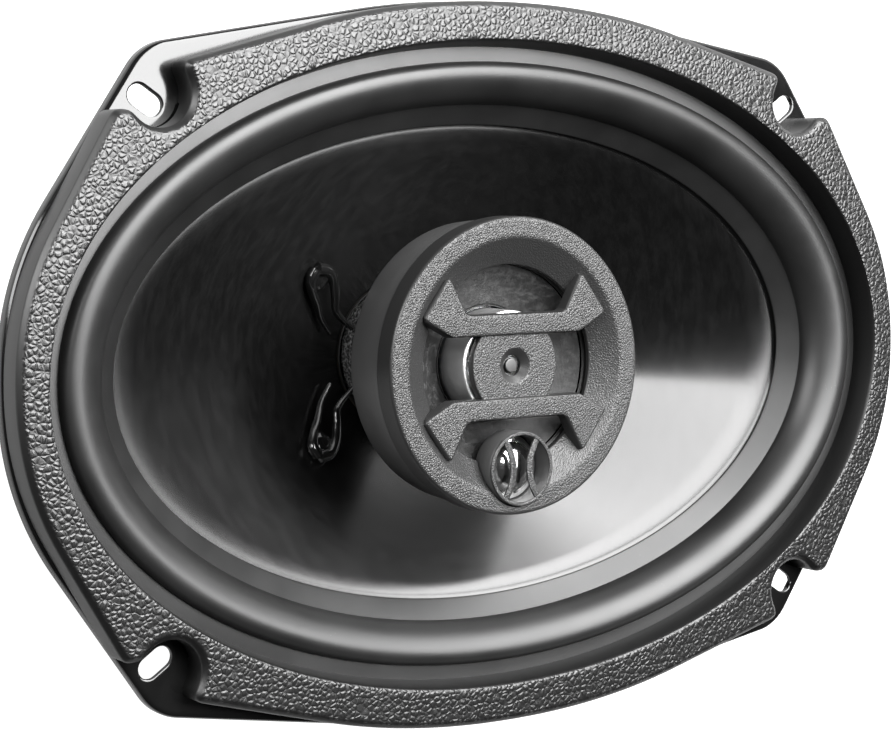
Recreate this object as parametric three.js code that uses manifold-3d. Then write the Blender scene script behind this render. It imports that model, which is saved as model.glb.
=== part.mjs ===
// A 6 x 9 inch three-way coaxial car speaker, modelled piece by piece.
// Millimetres. +Z is the way the speaker faces, +X its long axis, +Y its short axis.
// The origin is the centre of the magnet's back face, on which the speaker stands.
import * as THREE from "three";
import { mergeVertices } from "three/addons/utils/BufferGeometryUtils.js";
import Module from "manifold-3d";

const wasm = await Module();
wasm.setup();

// ---------- Driving dimensions ----------

const longHalf = 118; // half the flange's overall length
const shortHalf = 81.1; // half the flange's overall width
const flangePower = 2.17; // how square the flange's oval is (2 is an ellipse)
const sheetThickness = 1; // pressed steel of the basket
const skirtDepth = 3; // turned-down edge of the flange
const earRadius = 12;
const earInset = [39.6, 22.3]; // from the flange's ends to an ear's centre
const slotInset = [32.4, 23]; // from the flange's ends to a screw slot's centre
const slotWidth = 4.7;
const slotLength = 8.3;
const cutoutInset = [10.7, 11.3]; // flange margin outside the bowl, end and side

const basketDepth = 54; // flange top to the top plate
const shelfRise = 10; // top plate to the spider shelf
const shelfRadius = 50.5;
const shelfWidth = 6;
const windowCount = 6;
const windowSpan = 0.62; // angle that one window takes, radians
const windowFoot = 0.1; // share of the bowl's wall under a window
const windowHead = 0.8; // share of the bowl's wall up to a window's head

const backPlateThickness = 5;
const ferriteHeight = 16;
const topPlateThickness = 5;
const plateRadius = 42.5;
const ferriteRadius = 45;
const ferriteBore = 25;

const coilInnerRadius = 17;
const formerWall = 0.3;
const windingWall = 0.6;
const windingHeight = 8;
const gapClearance = 0.5; // radial air gap each side of the coil

const trimMargin = 0.4; // steel left showing outside the trim ring
const trimTop = 7.4; // trim ring's inner top edge over the flange
const trimOuterTop = 7.2;
const trimOuterWall = 6;
const trimBevel = 1.2; // width of the bevel between the wall and the face
const trimEdgeInset = [7.3, 9.1]; // from the flange's ends to the trim's inner top edge
const trimCorner = [27, 19.2]; // from the flange's ends to the trim's corner
const notchRadius = 7.2; // clearance pocket round each screw
const notchOpening = [140, 331]; // where the pocket's round wall starts and ends, degrees

const surroundThickness = 0.8;
const rollHeight = 4.7;
const rollOuterInset = [11.5, 13.3]; // from the flange's ends to the roll's outer edge
const rollInnerInset = [22.7, 22.75]; // from the flange's ends to the roll's inner edge
const rollInnerDrop = 3.4;
const coneRimInset = [27.3, 27.2]; // from the flange's ends to the cone's visible rim
const coneRimDrop = 6.9;
const coneNeckRise = 14; // top plate to the cone's neck
const coneThickness = 0.6;
const spiderThickness = 0.6;
const spiderWaves = 3;
const spiderWaveHeight = 1.6;

const bezelRadius = 33.4;
const bezelRingWidth = 4.5; // the bezel's flat ring
const bezelFunnelWidth = 6.3; // from the flat ring to the mouth over the midrange cone
const bezelTop = 9.9; // over the flange top
const mouthTop = 5.7;
const bezelBase = 3.8;
const barEndGap = 4.3; // from a bar's end to the bezel's flat ring
const barInner = 7; // bar's edge nearest the centre
const barOuter = 11.8;
const barWingDepth = 8.2; // from a bar's outer edge to its wing tips
const barThickness = 3.6;
const hubRadius = 11.4;
const hubTop = 8.7;
const hubThickness = 2;
const hubHoleRadius = 2.3;
const countersinkRadius = 4.1;
const countersinkDepth = 1.5;

const housingBackDrop = 10;
const housingTaper = 1; // how much narrower the housing is at its back
const housingWall = 1.8;
const stemRadius = 10.8;
const foamRise = 21; // top plate to the foam's top
const foamHeight = 9;
const studRadius = 1.9;
const studEnd = 7.2; // front end of the stud over the flange top

const midSleeveRadius = 12.4;
const midCoilRadius = 13;
const podGap = 2.1; // beside the supertweeter, to the midrange sleeve and to the bezel's edge
const podBase = 4.5;
const podTop = 10.6;
const podRingTop = 11.2;
const podWall = 0.8;

const boardSize = [22, 30, 1.6];
const boardReach = 74; // terminal board's outer edge from the axis
const blade = { length: 14, thickness: 0.8, positiveWidth: 6.35, negativeWidth: 4.75, spread: 7 };
const capacitorRadius = 4.5;
const capacitorLength = 12;
const rivetRadius = 1.5;

const fit = 0.1; // clearance between pieces that are glued or pressed together
const loose = 0.3; // clearance where a piece passes through or follows another

const ovalSteps = 44;
const roundSteps = 24;
const smallSteps = 10;

// ---------- Derived levels, all over the magnet's back face ----------

const ferriteTop = backPlateThickness + ferriteHeight;
const motorTop = ferriteTop + topPlateThickness;
const flangeTop = motorTop + basketDepth;
const poleRadius = coilInnerRadius - gapClearance;
const coilOuterRadius = coilInnerRadius + formerWall + windingWall;
const gapOuterRadius = coilOuterRadius + gapClearance;
const poleTop = motorTop + 0.5;
const bezelFloor = flangeTop + bezelBase;
const housingBack = flangeTop - housingBackDrop;
const shelfTop = motorTop + shelfRise;
const basketFloor = motorTop + sheetThickness;
const neckTop = motorTop + coneNeckRise;
const floorWallRadius = shelfRadius - shelfWidth;
const plateRivetCircle = (gapOuterRadius + floorWallRadius) / 2;
const stemFootRadius = poleRadius - 1.5;
const foamRadius = coilInnerRadius - 1;
const bezelLipRadius = bezelRadius - bezelRingWidth;
const bezelMouthRadius = bezelLipRadius - bezelFunnelWidth;
const barHalfLength = bezelLipRadius - barEndGap;
const barWingReach = barOuter + barWingDepth;
const housingFrontRadius = bezelRadius - 0.4;
const housingBackRadius = housingFrontRadius - housingTaper;
const podRadius = (bezelRadius - midSleeveRadius) / 2 - podGap;
const podOffset = bezelRadius - podGap - podRadius; // supertweeter centre below the speaker's axis
const inset = ([end, side]) => [longHalf - end, shortHalf - side];

// ---------- Outlines: each is a radius for a plan angle ----------

function oval([a, b], power = 2) {
  return (angle) =>
    (Math.abs(Math.cos(angle) / a) ** power + Math.abs(Math.sin(angle) / b) ** power) ** (-1 / power);
}

const circle = (radius) => () => radius;

const grown = (outline, by) => (angle) => outline(angle) + by;

const blend = (from, to, share) => (angle) => from(angle) + (to(angle) - from(angle)) * share;

function convexHull(points) {
  const sorted = [...points].sort((p, q) => p.x - q.x || p.y - q.y);
  const turn = (o, p, q) => (p.x - o.x) * (q.y - o.y) - (p.y - o.y) * (q.x - o.x);
  const half = (list) => {
    const chain = [];
    for (const p of list) {
      while (chain.length > 1 && turn(chain.at(-2), chain.at(-1), p) <= 1e-9) chain.pop();
      chain.push(p);
    }
    return chain.slice(0, -1);
  };
  return [...half(sorted), ...half(sorted.reverse())];
}

// An oval with its four corners pulled out round circles of the given radius.
function earedOutline([a, b], power, [cornerX, cornerY], cornerRadius) {
  const points = [];
  const rim = oval([a, b], power);
  for (let i = 0; i < ovalSteps; i++) {
    const angle = (2 * Math.PI * i) / ovalSteps;
    points.push(new THREE.Vector2(Math.cos(angle), Math.sin(angle)).multiplyScalar(rim(angle)));
  }
  for (const [sx, sy] of corners) {
    const turnSteps = 6;
    for (let i = 0; i <= turnSteps; i++) {
      const angle = (Math.PI / 2) * (i / turnSteps);
      const x = sx * (cornerX + cornerRadius * Math.cos(angle));
      const y = sy * (cornerY + cornerRadius * Math.sin(angle));
      points.push(new THREE.Vector2(x, y));
    }
  }
  return convexHull(points);
}

// The distance from the centre to a convex outline along a plan angle.
function reach(polygon) {
  return (angle) => {
    const ray = new THREE.Vector2(Math.cos(angle), Math.sin(angle));
    let best = 0;
    polygon.forEach((p, i) => {
      const q = polygon[(i + 1) % polygon.length];
      const edge = q.clone().sub(p);
      const across = ray.cross(edge);
      const along = p.cross(edge) / across;
      const share = p.cross(ray) / across;
      if (across > 1e-12 && share >= -1e-9 && share <= 1 + 1e-9) best = Math.max(best, along);
    });
    return best;
  };
}

const corners = [[1, 1], [-1, 1], [-1, -1], [1, -1]];

// ---------- Solids ----------

// A closed surface with its faces pointing out and no zero-area faces.
function closedSurface(geometry) {
  const bare = new THREE.BufferGeometry();
  bare.setAttribute("position", geometry.getAttribute("position"));
  bare.setIndex(geometry.getIndex());
  const merged = mergeVertices(bare, 1e-4);
  const place = (i) => new THREE.Vector3().fromBufferAttribute(merged.attributes.position, i);
  const faces = [];
  let volume = 0;
  for (let i = 0; i < merged.index.count; i += 3) {
    const [a, b, c] = [0, 1, 2].map((k) => merged.index.getX(i + k));
    if (a === b || b === c || c === a) continue;
    faces.push([a, b, c]);
    volume += place(a).dot(place(b).cross(place(c)));
  }
  merged.setIndex(faces.flatMap(([a, b, c]) => (volume < 0 ? [a, c, b] : [a, b, c])));
  return merged;
}

function toSolid(geometry) {
  const surface = closedSurface(geometry);
  const vertProperties = new Float32Array(surface.attributes.position.array);
  const triVerts = new Uint32Array(surface.index.array);
  return new wasm.Manifold(new wasm.Mesh({ numProp: 3, vertProperties, triVerts }));
}

function toGeometry(solid) {
  const mesh = solid.getMesh();
  const geometry = new THREE.BufferGeometry();
  geometry.setAttribute("position", new THREE.BufferAttribute(new Float32Array(mesh.vertProperties), 3));
  geometry.setIndex(new THREE.BufferAttribute(new Uint32Array(mesh.triVerts), 1));
  return geometry;
}

function cut(geometry, tools) {
  return toGeometry(tools.reduce((body, tool) => body.subtract(toSolid(tool)), toSolid(geometry)));
}

function join(geometries) {
  return toGeometry(geometries.map(toSolid).reduce((body, other) => body.add(other)));
}

function moved(geometry, x, y, z) {
  return geometry.clone().translate(x, y, z);
}

// A closed loop of stations { outline, z } swept round the Z axis, or through part of a turn.
function sweep(stations, { from = 0, to = 2 * Math.PI, steps = ovalSteps } = {}) {
  const given = stations.map(({ outline, z }) => new THREE.Vector2(outline(from), z));
  const clockwise = THREE.ShapeUtils.isClockWise(given);
  const loop = clockwise ? [...stations].reverse() : stations;
  const section = clockwise ? [...given].reverse() : given;
  const whole = to - from > 2 * Math.PI - 1e-9;
  const rows = whole ? steps : steps + 1;
  const count = loop.length;
  const positions = [];
  for (let i = 0; i < rows; i++) {
    const angle = from + ((to - from) * i) / steps;
    for (const { outline, z } of loop) {
      positions.push(outline(angle) * Math.cos(angle), outline(angle) * Math.sin(angle), z);
    }
  }
  const faces = [];
  for (let i = 0; i < steps; i++) {
    const here = i * count;
    const next = ((i + 1) % rows) * count;
    for (let j = 0; j < count; j++) {
      const k = (j + 1) % count;
      faces.push(here + j, next + j, next + k, here + j, next + k, here + k);
    }
  }
  if (!whole) {
    const last = steps * count;
    for (const [a, b, c] of THREE.ShapeUtils.triangulateShape(section, [])) {
      faces.push(a, b, c, last + a, last + c, last + b);
    }
  }
  const geometry = new THREE.BufferGeometry();
  geometry.setAttribute("position", new THREE.Float32BufferAttribute(positions, 3));
  geometry.setIndex(faces);
  return closedSurface(geometry);
}

// The closed loop round a sheet whose upper side runs through the stations, from outside to inside.
function sheetLoop(stations, thickness) {
  const mean = ({ outline }) => (outline(0) + outline(Math.PI / 2)) / 2;
  const under = stations.map((station, i) => {
    const before = stations[Math.max(i - 1, 0)];
    const after = stations[Math.min(i + 1, stations.length - 1)];
    const run = mean(after) - mean(before);
    const rise = after.z - before.z;
    const scale = thickness / Math.hypot(run, rise);
    return { outline: grown(station.outline, -rise * scale), z: station.z + run * scale };
  });
  return [...stations, ...under.reverse()];
}

// A profile of [radius, height] pairs turned about Z: it closes on itself, or ends on the axis.
function turned(profile, steps = roundSteps) {
  const onAxis = profile[0][0] === 0 && profile.at(-1)[0] === 0;
  const points = (onAxis ? profile : [...profile, profile[0]]).map(([r, z]) => new THREE.Vector2(r, z));
  return closedSurface(new THREE.LatheGeometry(points, steps).rotateX(Math.PI / 2));
}

function disc(radius, bottom, top, steps = roundSteps) {
  return turned([[0, bottom], [radius, bottom], [radius, top], [0, top]], steps);
}

function ring(outer, inner, bottom, top, steps = roundSteps) {
  return turned([[inner, bottom], [outer, bottom], [outer, top], [inner, top]], steps);
}

function plate(shape, bottom, top) {
  const options = { depth: top - bottom, bevelEnabled: false, curveSegments: 6 };
  return closedSurface(new THREE.ExtrudeGeometry(shape, options).translate(0, 0, bottom));
}

function block([sx, sy, sz], x, y, z) {
  return closedSurface(new THREE.BoxGeometry(sx, sy, sz).translate(x, y, z));
}

function wire(points, radius, steps, sides = 8) {
  const route = new THREE.CatmullRomCurve3(points.map((p) => new THREE.Vector3(...p)));
  const section = new THREE.Shape();
  for (let i = 0; i < sides; i++) {
    const angle = (2 * Math.PI * i) / sides;
    const place = [radius * Math.cos(angle), radius * Math.sin(angle)];
    if (i === 0) section.moveTo(...place);
    else section.lineTo(...place);
  }
  section.closePath();
  return closedSurface(new THREE.ExtrudeGeometry(section, { steps, extrudePath: route }));
}

// ---------- The assembly ----------

const speaker = new THREE.Group();

const looks = {
  blackPaint: { color: 0x0b0b0c, roughness: 0.25, metalness: 0.2 },
  texturedTrim: { color: 0x232324, roughness: 0.55, metalness: 0 },
  rubber: { color: 0x0d0d0e, roughness: 0.45, metalness: 0 },
  coneBlack: { color: 0x060607, roughness: 0.2, metalness: 0 },
  cloth: { color: 0xb08a3c, roughness: 0.9, metalness: 0 },
  film: { color: 0x1d1d1f, roughness: 0.5, metalness: 0 },
  copper: { color: 0xb86b3a, roughness: 0.35, metalness: 1 },
  zincSteel: { color: 0x9a9da0, roughness: 0.4, metalness: 1 },
  ferrite: { color: 0x26262a, roughness: 0.6, metalness: 0.1 },
  greyPlastic: { color: 0x3b3b3d, roughness: 0.5, metalness: 0 },
  chrome: { color: 0xd8dadd, roughness: 0.08, metalness: 1 },
  paper: { color: 0x1c1b1a, roughness: 0.9, metalness: 0 },
  foam: { color: 0x2c2c2c, roughness: 1, metalness: 0 },
  glue: { color: 0x070707, roughness: 0.12, metalness: 0 },
  fibreBoard: { color: 0x5d3b20, roughness: 0.7, metalness: 0 },
  brass: { color: 0xb99a4e, roughness: 0.35, metalness: 1 },
  sleevePlastic: { color: 0x1a2b52, roughness: 0.4, metalness: 0 },
};

function add(name, look, geometry) {
  const mesh = new THREE.Mesh(closedSurface(geometry), new THREE.MeshStandardMaterial(looks[look]));
  mesh.name = name;
  speaker.add(mesh);
  return mesh;
}

// ---------- Basket ----------

const flangeSize = [longHalf, shortHalf];
const bowlTop = oval(inset(cutoutInset), 2.05);
const wallHead = { outline: grown(bowlTop, -1.7), z: flangeTop - 2 };
const wallFoot = { outline: circle(shelfRadius), z: shelfTop + sheetThickness };

function wallStation(share, shift) {
  const z = wallFoot.z + (wallHead.z - wallFoot.z) * share;
  return { outline: grown(blend(wallFoot.outline, wallHead.outline, share), shift), z };
}

function flangeBlank(shrink) {
  const size = flangeSize.map((half) => half - shrink);
  const ear = flangeSize.map((half, i) => half - earInset[i]);
  return earedOutline(size, flangePower, ear, earRadius - shrink);
}

function withHole(outer, outline) {
  const shape = new THREE.Shape(outer);
  const hole = [];
  for (let i = 0; i < ovalSteps; i++) {
    const angle = (2 * Math.PI * i) / ovalSteps;
    hole.push(new THREE.Vector2(Math.cos(angle), Math.sin(angle)).multiplyScalar(outline(angle)));
  }
  shape.holes.push(new THREE.Path(hole));
  return shape;
}

const [slotX, slotY] = inset(slotInset);

// A round-ended slot pointing at the centre.
function screwSlot(sx, sy) {
  const run = (slotLength - slotWidth) / 2;
  const shape = new THREE.Shape();
  shape.absarc(run, 0, slotWidth / 2, -Math.PI / 2, Math.PI / 2, false);
  shape.absarc(-run, 0, slotWidth / 2, Math.PI / 2, 1.5 * Math.PI, false);
  return plate(shape, flangeTop - 5, flangeTop + 5)
    .rotateZ(Math.atan2(sy * slotY, sx * slotX))
    .translate(sx * slotX, sy * slotY, 0);
}

function ringOfHoles(count, circleRadius, holeRadius, bottom, top, phase) {
  return Array.from({ length: count }, (_, i) => {
    const angle = phase + (2 * Math.PI * i) / count;
    const hole = disc(holeRadius, bottom, top, smallSteps);
    return moved(hole, circleRadius * Math.cos(angle), circleRadius * Math.sin(angle), 0);
  });
}

const tabReach = boardReach - 7;
const tabWidth = boardSize[1] + 2;
const boardTop = shelfTop - sheetThickness;
const boardCentre = -boardReach + boardSize[0] / 2;
const terminalRivetX = -tabReach + 4;
const terminalRivetY = boardSize[1] / 2 - 3;

function basketGeometry() {
  const flange = plate(withHole(flangeBlank(0), grown(bowlTop, 1.5)), flangeTop - sheetThickness, flangeTop);
  const skirtShape = new THREE.Shape(flangeBlank(0));
  skirtShape.holes.push(new THREE.Path(flangeBlank(sheetThickness)));
  const skirt = plate(skirtShape, flangeTop - skirtDepth, flangeTop - sheetThickness / 2);
  const bowl = sweep(sheetLoop([
    { outline: grown(bowlTop, 3), z: flangeTop },
    { outline: bowlTop, z: flangeTop },
    wallHead,
    wallFoot,
    { outline: circle(shelfRadius - 1), z: shelfTop },
    { outline: circle(floorWallRadius), z: shelfTop },
    { outline: circle(floorWallRadius - 1.5), z: basketFloor },
    { outline: circle(gapOuterRadius + 1.5), z: basketFloor },
  ], sheetThickness));
  const tabLength = tabReach - shelfRadius + 3;
  const tabX = -tabReach + tabLength / 2;
  const tab = block([tabLength, tabWidth, sheetThickness], tabX, 0, shelfTop - sheetThickness / 2);
  const windows = Array.from({ length: windowCount }, (_, i) => {
    const middle = (2 * Math.PI * i) / windowCount;
    const loop = [
      wallStation(windowFoot, -6),
      wallStation(windowFoot, 6),
      wallStation(windowHead, 6),
      wallStation(windowHead, -6),
    ];
    return sweep(loop, { from: middle - windowSpan / 2, to: middle + windowSpan / 2, steps: 6 });
  });
  const slots = corners.map(([sx, sy]) => screwSlot(sx, sy));
  const floorHoles = ringOfHoles(4, plateRivetCircle, rivetRadius + fit, motorTop - 1, basketFloor + 1, Math.PI / 4);
  const tabHoles = [-1, 1].map((side) =>
    moved(disc(rivetRadius + fit, shelfTop - 3, shelfTop + 2, smallSteps), terminalRivetX, side * terminalRivetY, 0));
  return cut(join([flange, skirt, bowl, tab]), [...windows, ...slots, ...floorHoles, ...tabHoles]);
}

add("basket", "blackPaint", basketGeometry());

// ---------- Motor ----------

const nutRecessDepth = 6;
const nutRecessRadius = 7;
const nutAcrossFlats = 7;
const nutHeight = 3.2;
const washerThickness = 1;
const studHole = studRadius + fit;

add("pole_yoke", "zincSteel", turned([
  [nutRecessRadius, 0],
  [plateRadius - 1, 0],
  [plateRadius, 1],
  [plateRadius, backPlateThickness],
  [poleRadius, backPlateThickness],
  [poleRadius, poleTop - 0.6],
  [poleRadius - 0.6, poleTop],
  [studHole, poleTop],
  [studHole, nutRecessDepth],
  [nutRecessRadius, nutRecessDepth],
]));

add("ferrite_magnet", "ferrite", turned([
  [ferriteBore, backPlateThickness],
  [ferriteRadius - 1, backPlateThickness],
  [ferriteRadius, backPlateThickness + 1],
  [ferriteRadius, ferriteTop - 1],
  [ferriteRadius - 1, ferriteTop],
  [ferriteBore, ferriteTop],
]));

const plateHoles = ringOfHoles(4, plateRivetCircle, rivetRadius + fit, ferriteTop - 1, motorTop + 1, Math.PI / 4);
add("top_plate", "zincSteel", cut(ring(plateRadius, gapOuterRadius, ferriteTop, motorTop), plateHoles));

ringOfHoles(4, plateRivetCircle, rivetRadius, ferriteTop + 1, basketFloor + 0.5, Math.PI / 4).forEach((shank, i) => {
  const angle = Math.PI / 4 + (i * Math.PI) / 2;
  const head = disc(2 * rivetRadius, basketFloor, basketFloor + 1.1, smallSteps);
  const placed = moved(head, plateRivetCircle * Math.cos(angle), plateRivetCircle * Math.sin(angle), 0);
  add(`plate_rivet_${i + 1}`, "zincSteel", join([shank, placed]));
});

// ---------- Cone, coil, surround and spider ----------

const coneRim = oval(inset(coneRimInset), 2);
const neckRadius = coilInnerRadius + formerWall + fit;
const rollInner = oval(inset(rollInnerInset), 2);
const rollOuter = oval(inset(rollOuterInset), 2.02);

// A point of the cone's front face: share 0 is the neck, 1 the visible rim.
function coneStation(share) {
  const z = neckTop + (flangeTop - coneRimDrop - neckTop) * share;
  return { outline: blend(circle(neckRadius), coneRim, share), z };
}

// A point lifted off the cone's front face along its normal.
function conePoint(angle, share, lift = 0) {
  const at = (turn, part) => {
    const { outline, z } = coneStation(part);
    return new THREE.Vector3(outline(turn) * Math.cos(turn), outline(turn) * Math.sin(turn), z);
  };
  const step = 0.01;
  const round = at(angle + step, share).sub(at(angle - step, share));
  const out = at(angle, share + step).sub(at(angle, share - step));
  const normal = out.cross(round).normalize();
  return at(angle, share).addScaledVector(normal, lift).toArray();
}

const eyeletAngle = Math.PI - 0.59;
const eyeletShare = 0.31;
const eyeletRadius = 1.3;

// Places a turned piece on the cone, with its axis along the cone's normal.
function onCone(geometry, side) {
  const base = new THREE.Vector3(...conePoint(side * eyeletAngle, eyeletShare));
  const tip = new THREE.Vector3(...conePoint(side * eyeletAngle, eyeletShare, 1));
  const turn = new THREE.Quaternion().setFromUnitVectors(new THREE.Vector3(0, 0, 1), tip.sub(base).normalize());
  return geometry.clone().applyQuaternion(turn).translate(base.x, base.y, base.z);
}

const lipSlope = (coneRimDrop - rollInnerDrop) / (coneRimInset[0] - rollInnerInset[0]);
const underLip = flangeTop - coneRimDrop - surroundThickness * Math.hypot(1, lipSlope) - 2 * fit;
const lipOverlap = 0.65; // share of the surround's lip that the cone's rim is glued under
const coneLoop = sheetLoop([
  { outline: blend(coneRim, rollInner, lipOverlap), z: underLip + (coneRimDrop - rollInnerDrop) * lipOverlap },
  { outline: coneRim, z: underLip },
  coneStation(0.96),
  coneStation(0.5),
  coneStation(0),
], coneThickness);
const eyeletHoles = [1, -1].map((side) => onCone(disc(eyeletRadius + loose, -3, 3, smallSteps), side));
add("cone", "coneBlack", cut(sweep(coneLoop), eyeletHoles));

const rollSteps = 6;
const rollStations = Array.from({ length: rollSteps + 1 }, (_, i) => {
  const turn = (Math.PI * i) / rollSteps;
  const share = (1 - Math.cos(turn)) / 2;
  const base = flangeTop + surroundThickness - (surroundThickness + rollInnerDrop) * share;
  return { outline: blend(rollOuter, rollInner, share), z: base + rollHeight * Math.sin(turn) };
});
add("surround", "rubber", sweep(sheetLoop([
  { outline: grown(rollOuter, 4.4), z: flangeTop + surroundThickness },
  ...rollStations,
  { outline: grown(coneRim, -0.1), z: flangeTop - coneRimDrop },
], surroundThickness)));

const windingFoot = (ferriteTop + motorTop - windingHeight) / 2;
add("voice_coil_former", "film",
  ring(coilInnerRadius + formerWall, coilInnerRadius, windingFoot - 0.5, neckTop + 0.5));
add("voice_coil_winding", "copper",
  ring(coilOuterRadius, coilInnerRadius + formerWall + 0.02, windingFoot, windingFoot + windingHeight));

const spiderTop = shelfTop + spiderThickness;
const spiderOuter = shelfRadius - 2.5;
const spiderRollOuter = floorWallRadius;
const spiderInner = neckRadius + 3;
const spiderStations = Array.from({ length: 2 * spiderWaves + 1 }, (_, i) => {
  const radius = spiderRollOuter + ((spiderInner - spiderRollOuter) * i) / (2 * spiderWaves);
  return { outline: circle(radius), z: spiderTop + (i % 2) * spiderWaveHeight };
});
add("spider", "cloth", sweep(sheetLoop([
  { outline: circle(spiderOuter), z: spiderTop },
  ...spiderStations,
  { outline: circle(neckRadius), z: spiderTop },
], spiderThickness), { steps: roundSteps }));

// ---------- Trim ring ----------

function notch([sx, sy]) {
  const shape = new THREE.Shape();
  const [start, end] = notchOpening.map(THREE.MathUtils.degToRad);
  shape.moveTo(notchRadius * Math.cos(start), 40);
  shape.absarc(0, 0, notchRadius, start, end, false);
  shape.lineTo(40, notchRadius * Math.sin(end) + 1.5);
  shape.lineTo(40, 40);
  shape.closePath();
  const tool = plate(shape, flangeTop - 5, flangeTop + trimTop + 5);
  return tool.translate(slotX - 0.5, slotY + 1.4, 0).scale(sx, sy, 1);
}

function trimGeometry() {
  const corner = flangeSize.map((half, i) => half - trimCorner[i]);
  const outer = reach(earedOutline(flangeSize.map((half) => half - trimMargin), 2.12, corner, 1));
  const innerTop = oval(inset(trimEdgeInset), 2.02);
  const lipEdge = grown(rollOuter, 4.4 + loose);
  const rebate = flangeTop + surroundThickness + 0.05;
  const loop = [
    { outline: outer, z: flangeTop },
    { outline: outer, z: flangeTop + trimOuterWall },
    { outline: grown(outer, -trimBevel), z: flangeTop + trimOuterTop },
    { outline: innerTop, z: flangeTop + trimTop },
    { outline: grown(innerTop, -1), z: rebate },
    { outline: lipEdge, z: rebate },
    { outline: lipEdge, z: flangeTop },
  ];
  return cut(sweep(loop), corners.map(notch));
}

add("trim_ring", "texturedTrim", trimGeometry());

// ---------- Eyelets, leads and terminals ----------

const polarities = [["positive", 1], ["negative", -1]];
const leadRadius = 0.8;

for (const [polarity, side] of polarities) {
  const eyelet = turned([
    [0, -coneThickness - 0.8],
    [2, -coneThickness - 0.8],
    [2, -coneThickness - loose],
    [eyeletRadius, -coneThickness - loose],
    [eyeletRadius, loose],
    [2.1, loose],
    [2.1, 0.8],
    [0, 0.8],
  ], smallSteps);
  add(`cone_eyelet_${polarity}`, "brass", onCone(eyelet, side));
  const bead = turned([[0, 0.9], [2.8, 0.9], [2.6, 1.6], [1.7, 2.3], [0, 2.6]], smallSteps);
  add(`glue_bead_${polarity}`, "glue", onCone(bead, side));

  const angle = side * eyeletAngle;
  add(`coil_lead_${polarity}`, "glue", wire([
    conePoint(angle + side * 0.1, eyeletShare - 0.02, 1.5),
    conePoint(angle + side * 0.2, 0.25, 1.4),
    conePoint(angle + side * 0.27, 0.17, 1.4),
    conePoint(angle + side * 0.34, 0.09, 1.6),
  ], leadRadius, 8, 6));
  add(`mid_feed_${polarity}`, "glue", wire([
    conePoint(angle - side * 0.1, eyeletShare - 0.015, 2.6),
    conePoint(angle - side * 0.02, 0.26, 4),
    conePoint(angle + side * 0.12, 0.19, 4.6),
    [-foamRadius * Math.cos(side * 0.42) - 2.4, side * (foamRadius * Math.sin(0.42) + 0.6), neckTop + 6.2],
  ], leadRadius, 8, 6));

  const bladeY = side * blade.spread;
  const bladeWidth = side > 0 ? blade.positiveWidth : blade.negativeWidth;
  const bladeX = -boardReach - blade.length / 2 + 5;
  const bladeZ = boardTop + blade.thickness / 2;
  add(`terminal_${polarity}`, "brass", block([blade.length, bladeWidth, blade.thickness], bladeX, bladeY, bladeZ));

  add(`tinsel_lead_${polarity}`, "copper", wire([
    [-tabReach - 3.2, side * 7.5, boardTop + blade.thickness + 1.1],
    [-tabReach - 1.4, side * 8, boardTop + 4.6],
    [-61, side * 9.5, shelfTop + 8],
    [-52, side * 12, shelfTop + 9.6],
    [-42, side * 15.5, shelfTop + 8.2],
    [-34, side * 18.2, shelfTop + 8.6],
    conePoint(angle, eyeletShare, -coneThickness - 2.2),
  ], leadRadius, 16, 6));
}

const boardHoles = [-1, 1].map((side) =>
  moved(disc(rivetRadius + fit, boardTop - 3, boardTop + 1, smallSteps), terminalRivetX, side * terminalRivetY, 0));
const board = block(boardSize, boardCentre, 0, boardTop - boardSize[2] / 2);
add("terminal_board", "fibreBoard", cut(board, boardHoles));

[["left", -1], ["right", 1]].forEach(([hand, side]) => {
  const rivet = turned([
    [0, boardTop - boardSize[2] - 0.8],
    [2.6, boardTop - boardSize[2] - 0.8],
    [2.6, boardTop - boardSize[2]],
    [rivetRadius, boardTop - boardSize[2]],
    [rivetRadius, shelfTop],
    [2.6, shelfTop],
    [2.6, shelfTop + 0.9],
    [0, shelfTop + 0.9],
  ], smallSteps);
  add(`terminal_rivet_${hand}`, "brass", moved(rivet, terminalRivetX, side * terminalRivetY, 0));
});

const capacitorZ = boardTop - boardSize[2] - fit - capacitorRadius;
const capacitorX = boardCentre + 2;
add("crossover_capacitor", "sleevePlastic",
  moved(disc(capacitorRadius, -capacitorLength / 2, capacitorLength / 2, 18).rotateX(Math.PI / 2),
    capacitorX, 0, capacitorZ));

polarities.forEach(([polarity, side]) => {
  add(`capacitor_wire_${polarity}`, "zincSteel", wire([
    [capacitorX, side * (capacitorLength / 2 + fit), capacitorZ],
    [capacitorX, side * (capacitorLength / 2 + 1.2), capacitorZ + 0.4],
    [capacitorX, side * (capacitorLength / 2 + 1.8), capacitorZ + 1.6],
    [capacitorX, side * (capacitorLength / 2 + 1.8), boardTop - boardSize[2] - fit],
  ], 0.4, 6, 6));
});

// ---------- Post, housing and bezel ----------

add("post_stem", "greyPlastic", turned([
  [studHole, poleTop],
  [stemFootRadius, poleTop],
  [stemFootRadius, poleTop + 2],
  [stemRadius, poleTop + 3],
  [stemRadius, housingBack],
  [studHole, housingBack],
]));

const foamTop = motorTop + foamRise;
add("foam_seal", "foam", ring(foamRadius, stemRadius + fit, foamTop - foamHeight, foamTop));

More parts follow.
